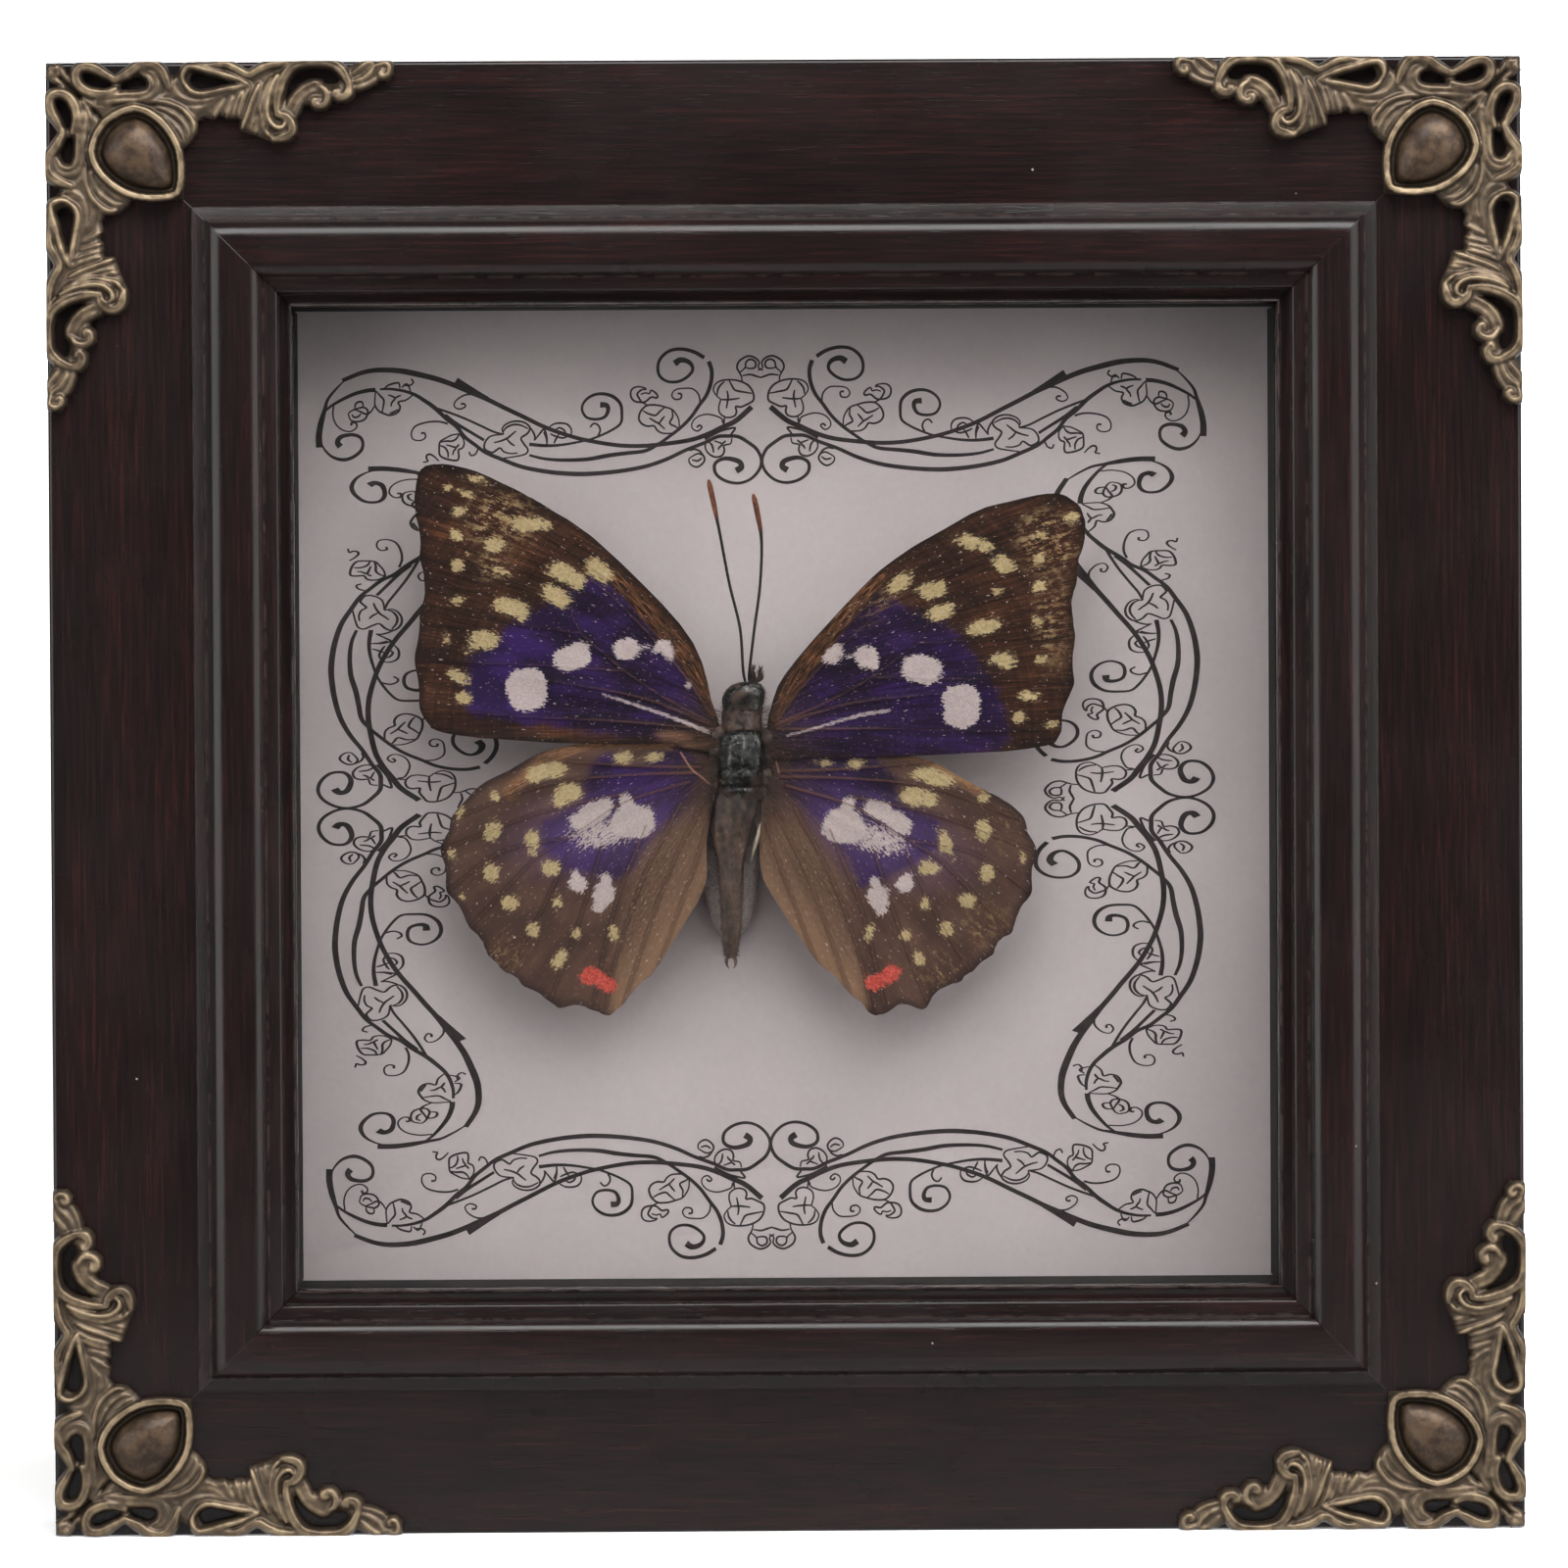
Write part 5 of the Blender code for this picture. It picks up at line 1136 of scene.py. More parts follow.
def node_outline(node):
    """The outline of a flat CAD node seen from the front, in order, as (x, z) in millimetres."""
    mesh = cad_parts[node].data
    places = [(round(v.co.x / MM, 3), round(v.co.z / MM, 3)) for v in mesh.vertices]
    ends = set()
    for face in mesh.polygons:
        if face.normal.y < -0.9:
            corners = [places[k] for k in face.vertices]
            ends |= set(zip(corners, corners[1:] + corners[:1]))
    following = {a: b for a, b in ends if (b, a) not in ends}
    ring = [min(following)]
    while following[ring[-1]] != ring[0]:
        ring.append(following[ring[-1]])
    return np.array(ring)


def spot_distance(spots, marks):
    """Distance in millimetres to the nearest of some rounded patches, negative inside."""
    best = np.full(len(spots), FAR)
    for x, z, width, height, tilt in marks:
        turn = math.radians(tilt)
        away = spots - (x, z)
        along = away[:, 0] * math.cos(turn) + away[:, 1] * math.sin(turn)
        up = -away[:, 0] * math.sin(turn) + away[:, 1] * math.cos(turn)
        ring = (np.abs(2 * along / width) ** 2.3 + np.abs(2 * up / height) ** 2.3) ** (1 / 2.3)
        best = np.minimum(best, (ring - 1) * min(width, height) / 2)
    return best


def mirrored_veins(veins, axis, shift, pivot=(0, 0), turn=0.0):
    """The same veins on the other side: mirrored about x = axis, turned about a pivot and shifted."""
    spin = np.array(Matrix.Rotation(math.radians(turn), 2))
    mirrored = [np.array(vein) * (-1, 1) + (2 * axis, 0) for vein in veins]
    return [(vein - pivot) @ spin.T + pivot + shift for vein in mirrored]


def wing_footprint(grid, ring, marks, prefix, root, vein, level):
    """Distance to the wing's edge, negative inside: the CAD's outline, scalloped and tattered."""
    footprint = polygon_distance(grid, ring)
    if prefix == "fore_":
        footprint = np.minimum(footprint, spot_distance(grid, marks["fore_web"]))
    start, depth = SCALLOPS[prefix]
    outer = np.clip((np.hypot(*(grid - root).T) - start) / 5, 0, 1)
    footprint += depth * outer * (1 - np.exp(-((vein / 1.5) ** 2)))
    plane = upright(grid, level)
    tatter = np.clip(1 - spot_distance(grid, marks[prefix + "worn"]) / 2, 0, 1)
    return footprint + tatter * (0.18 * lumps(plane, 1.0, 5) + 0.3 * lumps(plane, 3.0, 6))


def wing_fields(spots, name, marks, prefix, level):
    """The markings as distances in millimetres, negative inside, for the shader."""
    plane = upright(spots, level)
    uneven = 0.45 * lumps(plane, 2.6, len(name)) + 0.2 * lumps(plane, 1.1, 2)
    far = np.full(len(spots), FAR)
    fields = {key: far for key in ("gold", "streak", "red", "dust", "fold", "tan", "pale_vein_glint")}
    violet = spline(marks[prefix + "purple"], 4, closed=True)
    fields["cream"] = spot_distance(spots, marks[prefix + "cream"]) + uneven
    fields["white"] = spot_distance(spots, marks[prefix + "white"]) + 0.6 * uneven
    fields["purple"] = polygon_distance(spots, violet) + 2 * uneven
    fields["worn"] = spot_distance(spots, marks[prefix + "worn"])
    if prefix == "hind_":
        fields["red"] = spot_distance(spots, marks["hind_red"]) + uneven
        fields["dust"] = spot_distance(spots, marks["hind_dust"])
        fields["fold"] = polygon_distance(spots, spline(marks["hind_fold"], 4, closed=True))
        fields["tan"] = line_distance(spots, spline(marks["hind_rim"], 6))[0] - 0.9
        fields["pale_vein_glint"] = line_distance(spots, spline(marks["hind_pale_vein_glint"], 6))[0]
    else:
        fields["tan"] = spot_distance(spots, marks["fore_tan"]) + uneven
        gold, along = line_distance(spots, spline(marks["fore_gold"], 6))
        fields["gold"] = gold - 0.4 - 0.8 * np.sin(along * math.pi) ** 0.7
        streak, along = line_distance(spots, spline(marks["fore_streak"], 6))
        fields["streak"] = streak - 0.12 - 0.22 * along * (1 - 0.5 * along)
    return fields


def wing(name, marks, prefix, veins, root, heading, lift, material):
    """One wing: a thin cambered sheet with raised veins, and its markings as distances for the shader."""
    low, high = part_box(name)
    level = (low.y + high.y) / 2 / MM
    ring = spline(node_outline(name), 3, closed=True)
    xs = np.arange(ring[:, 0].min() - 1, ring[:, 0].max() + 1, WING_PITCH)
    zs = np.arange(ring[:, 1].min() - 1, ring[:, 1].max() + 1, WING_PITCH)
    grid = np.stack(np.meshgrid(xs, zs, indexing="ij"), axis=-1).reshape(-1, 2)
    vein = np.min([line_distance(grid, spline(line, 5))[0] for line in veins], axis=0)
    footprint = wing_footprint(grid, ring, marks, prefix, root, vein, level)
    footprint = footprint.reshape(len(xs), len(zs))
    spots, used, cells = cut_sheet(xs, zs, footprint, WING_PITCH)
    vein = vein.reshape(footprint.shape)[used]
    away = spots - root
    reach = np.hypot(*away.T)
    bearing = np.arctan2(away[:, 1], np.abs(away[:, 0]))
    # Scales lie in rows that fan out from the root and straighten towards the outer margin.
    across = (bearing - math.radians(heading)) * np.sqrt(30 * np.maximum(reach, 1))
    flow = np.stack([reach, across, np.full(len(spots), 11.0 * len(name))], axis=1)
    fields = wing_fields(spots, name, marks, prefix, level)
    pleat = np.sin(across * PLEATS) * np.clip(-fields["fold"], 0, 1) * PLEAT_DEPTH
    ripple = np.sin(bearing * RIPPLES) * np.clip(reach / 20, 0, 1) * RIPPLE_DEPTH
    camber = -CAMBER_DEPTH * lift * np.clip(reach / FULL_REACH, 0, 1) ** 2
    sag = SAG_DEPTH * (1 - np.exp(-vein / 1.6))
    rise = VEIN_RISE * np.exp(-((vein / 0.16) ** 2)) * np.clip(1.6 - reach / FULL_REACH, 0.3, 1)
    middle = level + camber + ripple + pleat + sag
    front = upright(spots, middle - WING_HALF_THICK - rise)
    back = upright(spots, middle + WING_HALF_THICK)
    points, faces = closed_sheet(front, back, cells[:, ::-1])
    # Painted sheen: how bright this wing's violet is painted, full on the left wings and dimmer on the right
    # ones.
    fields["violet"] = np.full(len(spots), 1.0 if name.endswith("left") else PAINTED_SHEEN_OF_RIGHT_WINGS)
    fields["vein"] = vein
    fields["rim"] = np.clip(-footprint[used], 0, FAR)
    fields["reach"] = reach
    fields["hind"] = np.full(len(spots), 1.0 if prefix == "hind_" else 0.0)
    shade = {key: np.tile(values, 2) for key, values in fields.items()}
    piece_name = name.replace("forewing", "wing_fore").replace("hindwing", "wing_hind")
    mesh_piece(
        piece_name, points, faces, material, "wing_scales", [name],
        smooth=60, flow=np.tile(flow, (2, 1)), **shade,
    )


class WingFinish(Finish):
    """The wings' material, with the patterns of the scales that its layers share."""

    def __init__(self):
        super().__init__("wing_scales", Specular_IOR_Level=0.12)
        self.spikes = self.along_flow((0.42, 1.0, 1.0), 3.0, 3.0, 0.7)
        self.soft = self.math("SUBTRACT", self.spikes, 0.5)
        self.fibres = self.along_flow((0.05, 1.0, 1.0), 3.2, 4.0, 0.7)
        self.scale = self.along_flow((0.8, 1.0, 1.0), 3.4, 2.0, 0.7)
        self.broad = self.along_flow((0.5, 1.0, 1.0), 0.25, 3.0)
        self.rows = self.along_flow((1.0, 0.06, 1.0), 1.6, 3.0, 0.6)
        self.grain = self.band(self.scale, 0.35, 0.65)
        self.vein = self.attribute("vein")
        self.rim = self.attribute("rim")
        self.hind = self.attribute("hind")
        self.reach = self.attribute("reach")

    def along_flow(self, stretch, scale, detail=4.0, roughness=0.5):
        """Noise in the directions in which the scales lie."""
        return self.noise(self.place(stretch, "flow"), scale, detail, roughness)

    def patch(self, name, fray, edge=0.08, reach=0.0):
        """1 inside a marking, with its edge frayed by the scales."""
        frayed = self.math("ADD", self.attribute(name), self.times(self.soft, fray))
        return self.band(frayed, -edge + reach, edge + reach, 1.0, 0.0)


def brown_and_violet(wing):
    """The wing's ground colour under its markings, and where it is violet, with a painted sheen on the
    violet.
    """
    hind, broad = wing.hind, wing.broad
    tone = wing.total((wing.fibres, 0.5), (broad, 0.3), (wing.rows, 0.2))
    brown = wing.ramp(
        tone, (0.36, srgb(27, 15, 12)), (0.46, srgb(46, 26, 18)),
        (0.54, srgb(66, 38, 25)), (0.66, srgb(110, 68, 42)),
    )
    dusky = wing.times(hind, wing.band(broad, 0.35, 0.65, 0.45, 0.8))
    colour = wing.mix(dusky, brown, srgb(96, 72, 58))
    dark_rim = wing.band(wing.rim, 0.0, 1.4, 0.6, 0.0)
    colour = wing.mix(dark_rim, colour, srgb(26, 19, 17))
    tint = wing.ramp(tone, (0.38, srgb(20, 11, 25)), (0.5, srgb(33, 16, 44)), (0.60, srgb(52, 25, 80)))
    # Painted sheen: the violet is painted brighter outwards from the root, in broad patches, on the hindwings
    # and on the left wings, where the iridescent scales catch the light.
    outwards = wing.band(wing.reach, 18.0, 34.0, 0.0, 0.55)
    bright = wing.math("ADD", outwards, wing.band(broad, 0.4, 0.6, -0.25, 0.25))
    bright = wing.math("ADD", bright, wing.times(hind, 0.3), clamp=True)
    bright = wing.times(bright, wing.attribute("violet"))
    tint = wing.mix(bright, tint, srgb(58, 31, 96))
    violet = wing.patch("purple", 3.0, 0.8)
    colour = wing.mix(violet, colour, tint)
    haze = wing.band(wing.attribute("dust"), 0.5, 6.0, 1.0, 0.1)
    haze = wing.times(haze, wing.times(hind, 0.28))
    return wing.mix(haze, colour, srgb(120, 92, 140)), violet


def add_edges_and_fold(wing, colour):
    """The golden leading edge, the tan strip, the pale fold by the abdomen and the dark root."""
    fibres, spikes = wing.fibres, wing.spikes
    strip = {"X": wing.times(wing.reach, 0.12), "Y": wing.attribute("gold")}
    strip = wing.node("CombineXYZ", strip).outputs["Vector"]
    gold = wing.ramp(
        wing.noise(strip, 3.6, 4.0, 0.7), (0.38, srgb(28, 18, 14)), (0.47, srgb(62, 38, 25)),
        (0.56, srgb(98, 62, 38)), (0.68, srgb(150, 102, 62)),
    )
    colour = wing.mix(wing.patch("gold", 0.8, 0.2), colour, gold)
    tan = wing.ramp(
        wing.total((fibres, 0.5), (spikes, 0.5)),
        (0.38, srgb(84, 54, 38)), (0.5, srgb(132, 94, 66)), (0.62, srgb(170, 130, 98)),
    )
    colour = wing.mix(wing.times(wing.patch("tan", 2.2, 0.5), 0.85), colour, tan)
    fold = wing.ramp(
        wing.total((fibres, 0.4), (spikes, 0.6)), (0.32, srgb(70, 51, 42)), (0.47, srgb(97, 73, 60)),
        (0.57, srgb(112, 86, 71)), (0.70, srgb(154, 124, 102)),
    )
    low_down = wing.band(wing.reach, 6.0, 24.0, 0.1, 0.6)
    pale_rim = wing.times(wing.band(wing.rim, 0.0, 7.0, 1.0, 0.0), low_down)
    fold = wing.mix(pale_rim, fold, srgb(158, 122, 96))
    colour = wing.mix(wing.patch("fold", 2.0, 1.3), colour, fold)
    root = wing.ramp(fibres, (0.4, srgb(36, 27, 26)), (0.54, srgb(58, 42, 40)), (0.66, srgb(110, 76, 58)))
    return wing.mix(wing.band(wing.reach, 3.0, 11.0, 0.55, 0.0), colour, root)


def add_veins(wing, colour, violet):
    """Fine veins: ochre on the violet, and a darker thread on the brown. It also returns their lines."""
    width = wing.band(wing.reach, 4.0, 26.0, 0.24, 0.15)
    line = wing.band(wing.math("DIVIDE", wing.vein, width), 0.4, 1.1, 1.0, 0.0)
    ochre = wing.times(line, wing.band(wing.fibres, 0.38, 0.56, 0.15, 0.75))
    near = wing.band(wing.reach, 8.0, 34.0, 1.0, 0.3)
    ochre = wing.times(ochre, wing.times(near, wing.band(violet, 0.0, 1.0, 0.3, 0.7)))
    colour = wing.mix(ochre, colour, srgb(116, 80, 58))
    beside = wing.math("SUBTRACT", 1.0, line)
    thread = wing.times(wing.band(wing.vein, 0.15, 0.6, 0.38, 0.0), beside)
    return wing.mix(thread, colour, srgb(18, 12, 12)), line


def add_wear(wing, colour):
    """Rubbed places: broken pale blocks in rows, reddish membrane round them, and lost scales everywhere."""
    rubbed = wing.band(wing.attribute("worn"), -2.5, 1.6, 1.0, 0.0)
    rubbed = wing.times(rubbed, wing.math("SUBTRACT", 1.0, wing.times(wing.hind, 0.45)))
    scratch = wing.along_flow((0.12, 1.0, 1.0), 1.7, 5.0, 0.8)
    blocks = wing.along_flow((0.7, 1.0, 1.0), 1.1, 4.0, 0.8)
    wear = wing.total((scratch, 0.6), (blocks, 0.4))
    membrane = wing.times(wing.band(wear, 0.44, 0.50), wing.times(rubbed, 0.7))
    colour = wing.mix(membrane, colour, srgb(72, 36, 26))
    bare = wing.times(wing.band(wear, 0.50, 0.53), rubbed)
    bare_tone = wing.ramp(
        blocks, (0.4, srgb(112, 76, 56)), (0.52, srgb(146, 118, 84)), (0.64, srgb(186, 164, 122)),
    )
    colour = wing.mix(wing.times(bare, 0.85), colour, bare_tone)
    flakes = wing.node("TexVoronoi", {"Vector": wing.place((0.4, 1.0, 1.0), "flow"), "Scale": 1.5})
    size = wing.band(wing.grey(flakes.outputs["Color"]), 0.5, 0.9, 0.0, 0.11)
    fleck = wing.math("LESS_THAN", flakes.outputs["Distance"], size)
    often = wing.band(wing.noise(wing.place(), 170.0, 2.0), 0.42, 0.60, 0.06, 0.42)
    return wing.mix(wing.times(fleck, often), colour, srgb(156, 132, 108))


def add_spots(wing, colour, line):
    """The cream, white and red spots, the veins that cross them, and the pale threads at the root, painted
    with a highlight along them.
    """
    grain, patch = wing.grain, wing.patch
    cream = wing.ramp(grain, (0.0, srgb(167, 144, 103)), (1.0, srgb(195, 173, 133)))
    colour = wing.mix(wing.times(patch("cream", 2.4, 0.35, 0.1), 0.25), colour, cream)
    colour = wing.mix(patch("cream", 2.7), colour, cream)
    white = wing.ramp(grain, (0.0, srgb(180, 162, 160)), (1.0, srgb(197, 180, 176)))
    dusty = wing.math("ADD", wing.band(wing.attribute("dust"), -1.2, 1.2, 0.12, -0.12), wing.spikes)
    colour = wing.mix(wing.band(dusty, 0.53, 0.56), colour, white)
    colour = wing.mix(patch("white", 2.3), colour, white)
    crossed = wing.times(line, wing.times(wing.hind, 0.5))
    colour = wing.mix(crossed, colour, srgb(96, 62, 50))
    colour = wing.mix(wing.times(patch("streak", 1.1, 0.1), 0.85), colour, white)
    red = wing.ramp(grain, (0.0, srgb(168, 62, 52)), (1.0, srgb(214, 96, 84)))
    colour = wing.mix(patch("red", 2.6), colour, red)
    # The pale vein at the root: its own pale colour together with a painted highlight.
    pale_vein_glint = wing.times(wing.band(wing.attribute("pale_vein_glint"), 0.04, 0.20, 1.0, 0.0), 0.7)
    return wing.mix(pale_vein_glint, colour, srgb(190, 140, 112))


def wing_material():
    """Wing scales: brown, feather-edged cream spots, a violet field with painted sheen, rubbed scratchy
    places.
    """
    wing = WingFinish()
    colour, violet = brown_and_violet(wing)
    colour = add_edges_and_fold(wing, colour)
    colour, line = add_veins(wing, colour, violet)
    colour = add_wear(wing, colour)
    wing.set("Base Color", add_spots(wing, colour, line))
    wing.set("Roughness", wing.band(wing.scale, 0.3, 0.7, 0.50, 0.70))
    wing.bump(wing.fibres, 0.04)
    wing.bump(wing.scale, 0.02)
    return wing.material


def build_wings(material):
    right_fore = mirrored_veins(FOREWING_VEINS, -5.5, (0, 0), (-1.5, 109.5), -5.0)
    left_hind = mirrored_veins(HINDWING_VEINS, -6.6, (0, 0.6))
    wing("hindwing_left", LEFT_MARKS, "hind_", left_hind, (-9.0, 103.0), -50, 0.3, material)
    wing("hindwing_right", RIGHT_MARKS, "hind_", HINDWING_VEINS, (-2.5, 102.5), -50, 0.3, material)
    wing("forewing_left", LEFT_MARKS, "fore_", FOREWING_VEINS, (-8.5, 108.5), 0, 1.0, material)
    wing("forewing_right", RIGHT_MARKS, "fore_", right_fore, (-2.5, 107.5), -5, 1.0, material)
# ---------------------------------------------------------------- body

# The body's sections from the head's end back, in millimetres: centre X, Y, Z and half width, half depth.
HEAD_SECTIONS = [
    (-5.2, -0.3, 115.6, 1.0, 0.9), (-5.3, -0.4, 115.2, 2.0, 1.6), (-5.5, -0.4, 114.4, 2.6, 2.1),
    (-5.75, -0.3, 113.4, 2.75, 2.2), (-5.85, -0.2, 112.4, 2.7, 2.15), (-5.9, -0.1, 111.6, 2.6, 2.0),
    (-5.9, 0.0, 111.1, 2.1, 1.5),
]
THORAX_SECTIONS = [
    (-5.9, 0.1, 112.4, 1.6, 1.4), (-5.9, 0.0, 112.0, 2.55, 2.0), (-5.95, -0.1, 110.8, 2.7, 2.2),
    (-5.95, -0.2, 108.9, 2.8, 2.4), (-6.0, -0.3, 107.8, 3.1, 2.8), (-6.1, -0.2, 106.0, 3.35, 3.1),
    (-6.2, -0.1, 103.6, 3.3, 3.1), (-6.3, 0.0, 101.6, 3.1, 2.7), (-6.5, 0.1, 99.6, 2.8, 2.3),
    (-6.6, 0.3, 97.8, 2.0, 1.7), (-6.7, 0.5, 96.8, 0.9, 0.8),
]
ABDOMEN_SECTIONS = [
    (-6.8, 0.5, 102.2, 1.4, 1.3), (-6.8, 0.4, 101.0, 2.6, 2.2), (-6.9, 0.2, 99.0, 3.0, 2.5),
    (-7.4, 0.2, 96.0, 2.75, 2.4), (-7.6, 0.3, 93.4, 2.3, 2.1), (-7.6, 0.4, 91.0, 1.75, 1.9),
    (-7.5, 0.5, 87.0, 1.6, 1.8), (-7.55, 0.6, 83.6, 1.4, 1.5), (-7.6, 0.7, 80.8, 1.2, 1.2),
    (-7.65, 0.8, 78.8, 0.95, 0.85), (-7.65, 0.8, 77.7, 0.65, 0.55),
]
# Painted highlights on the head, as small pale wet glints: X, Z and radius.
HEAD_GLINTS = [(-5.4, 114.6, 0.35), (-4.6, 114.3, 0.25), (-4.0, 114.0, 0.3), (-4.3, 112.2, 0.4)]
SCUTELLUM = (-6.4, 101.3, 1.5)
THORAX_RIDGES = (-0.46, 0.08, 0.68)
# The dark swellings where each wing joins the thorax: centre, half sizes, and tilt.
WING_BASES = [
    ((-9.1, -0.5, 108.4), (1.1, 0.9, 1.3), 30), ((-9.4, -0.2, 105.8), (1.1, 0.8, 1.5), 0),
    ((-9.4, 0.0, 103.2), (1.0, 0.7, 1.4), -20), ((-9.1, 0.1, 100.8), (0.9, 0.6, 1.4), -30),
    ((-2.7, -0.5, 108.0), (1.1, 0.9, 1.3), -30), ((-2.8, -0.2, 105.2), (1.1, 0.8, 1.5), 0),
    ((-3.0, 0.0, 102.6), (1.0, 0.7, 1.4), 20), ((-3.5, 0.1, 100.2), (0.9, 0.6, 1.4), 30),
]
ANTENNAE = {
    "left": [
        (-5.5, 115.6), (-5.8, 117.4), (-6.2, 123.0), (-7.6, 129.0), (-8.9, 136.0), (-9.7, 140.0),
        (-10.4, 143.3),
    ],
    "right": [
        (-5.0, 115.8), (-4.9, 117.4), (-4.2, 123.0), (-3.4, 129.0), (-3.2, 135.0), (-3.8, 139.0),
        (-4.3, 141.3),
    ],
}
CLUB_LENGTH = 6.5
STALK_SIDES = 10
PAD_SIDES = 96
# The thorax's seams and the abdomen's rings, as places along them from the front.
THORAX_SEAMS = (0.31, 0.60, 0.72, 0.86)
ABDOMEN_RINGS = np.linspace(0.28, 0.92, 7)
BODY_SEED = 11
# The hairs on the body: sections, how many, from where to where along them, and length.
COATS = [
    (HEAD_SECTIONS, 420, 0.05, 0.95, 0.7), (THORAX_SECTIONS, 700, 0.03, 0.97, 0.8),
    (ABDOMEN_SECTIONS, 1500, 0.06, 0.95, 0.5),
]
ROOT_HAIRS = 420
PALP_HAIRS = 160


def bell(distance, width):
    """1 where the distance is 0, falling off smoothly over the width."""
    return np.exp(-((distance / width) ** 2))


def outward(angle):
    """Directions out of the body, from its front round it."""
    return np.stack([np.sin(angle), -np.cos(angle), np.zeros_like(angle)], axis=-1)


def turned_body(sections, per_gap, around):
    """Rings through smoothed sections.

    It returns the points, the quads, each point's direction outwards and its place along and around,
    and the index of the rings."""
    rows = spline(sections, per_gap)
    turns = np.linspace(0, 2 * math.pi, around, endpoint=False)
    along, angle = np.meshgrid(np.linspace(0, 1, len(rows)), turns, indexing="ij")
    out = outward(angle)
    radii = np.stack([rows[:, 3], rows[:, 4], np.zeros(len(rows))], axis=1)[:, None, :]
    points = rows[:, None, :3] + out * radii
    index = np.arange(len(rows) * around).reshape(len(rows), around)
    points, out = points.reshape(-1, 3), out.reshape(-1, 3)
    return points, ring_quads(index), out, along.ravel(), angle.ravel(), index


def capped(points, faces, index):
    """Adds a pole at each end of the rings."""
    poles = np.array([points[index[0]].mean(axis=0), points[index[-1]].mean(axis=0)])
    first, last = len(points), len(points) + 1
    for a, b in zip(index[0], np.roll(index[0], -1)):
        faces.append((int(a), int(b), first))
    for a, b in zip(index[-1], np.roll(index[-1], -1)):
        faces.append((int(b), int(a), last))
    return np.vstack([points, poles]), faces


def closed_body(sections, per_gap, around):
    """The points and faces of rings through smoothed sections, closed at both ends."""
    points, faces, _, _, _, index = turned_body(sections, per_gap, around)
    return capped(points, faces, index)


def join_meshes(meshes):
    """One mesh from several, each given as its points and its faces."""
    points, faces, start = [], [], 0
    for some_points, some_faces in meshes:
        points.append(some_points)
        faces += [tuple(start + int(k) for k in face) for face in some_faces]
        start += len(some_points)
    return np.concatenate(points), faces


def hairs(roots, directions, lengths, width, seed):
    """Many fine tapered blades, three-sided, bent at their middles."""
    droop = 0.25
    rng = np.random.default_rng(seed)
    count = len(roots)
    directions = directions / np.linalg.norm(directions, axis=1, keepdims=True)
    side = np.cross(directions, rng.normal(size=(count, 3)))
    side /= np.linalg.norm(side, axis=1, keepdims=True)
    other = np.cross(directions, side)
    bend = rng.normal(size=(count, 3)) * droop
    points = []
    for step, thick in ((0.0, 1.0), (0.5, 0.75)):
        centre = roots + directions * (lengths * step)[:, None] + bend * (lengths * step**2)[:, None]
        for turn in range(3):
            angle = turn * 2 * math.pi / 3
            points.append(centre + (side * math.cos(angle) + other * math.sin(angle)) * width * thick / 2)
    points.append(roots + directions * lengths[:, None] + bend * lengths[:, None])
    points = np.stack(points, axis=1).reshape(-1, 3)
    faces = []
    for start in range(0, count * 7, 7):
        for k in range(3):
            n = (k + 1) % 3
            faces.append((start + k, start + n, start + 3 + n, start + 3 + k))
            faces.append((start + 3 + k, start + 3 + n, start + 6))
        faces.append((start + 2, start + 1, start))
    return points, faces


def insect_material(name, dark, light, roughness, grain, gloss=0.5):
    """Chitin or fuzz: two tones in fine speckles, with a satin shine."""
    skin = Finish(name, Specular_IOR_Level=gloss)
    speckle = skin.noise(skin.place(), grain, 5.0, 0.65)
    patch = skin.noise(skin.place(), grain / 5, 3.0)
    tone = skin.total((speckle, 0.6), (patch, 0.4))
    skin.set("Base Color", skin.ramp(tone, (0.36, dark), (0.64, light)))
    skin.set("Roughness", skin.band(speckle, 0.3, 0.7, roughness - 0.1, roughness + 0.1))
    skin.bump(speckle, 0.08)
    return skin.material


def glossy_skin(name, dark, light, streak, matte=0.0):
    """Dark chitin with a wet shine: lengthwise streaks, and painted highlights as pale glints between darker
    lumps.
    """
    skin = Finish(name, Specular_IOR_Level=0.4)
    speckle = skin.noise(skin.place(), 1300.0, 5.0, 0.7)
    streaks = skin.noise(skin.place((1.0, 1.0, 0.3)), 900.0, 4.0, 0.6)
    patch = skin.noise(skin.place(), 260.0, 3.0)
    tone = skin.total((speckle, 0.4), (streaks, 0.35), (patch, 0.25))
    collar = skin.band(skin.attribute("tan"), 0.2, 0.8)
    colour = skin.ramp(tone, (0.42, dark), (0.58, light), (0.68, streak))
    umber = skin.ramp(tone, (0.40, srgb(32, 23, 19)), (0.55, srgb(82, 60, 50)), (0.66, srgb(138, 108, 90)))
    colour = skin.mix(collar, colour, umber)
    colour = skin.mix(skin.attribute("inky"), colour, srgb(11, 9, 9))
    # Painted highlights: pale colour where the glint attribute is set, broken up by the speckle.
    glint = skin.times(skin.attribute("glint"), skin.band(speckle, 0.42, 0.56))
    skin.set("Base Color", skin.mix(glint, colour, srgb(176, 172, 164)))
    rough = skin.band(speckle, 0.3, 0.7, 0.16 + matte, 0.42 + matte)
    skin.set("Roughness", skin.math("ADD", rough, skin.times(collar, 0.2)))
    skin.bump(tone, 0.22)
    skin.bump(speckle, 0.06)
    return skin.material


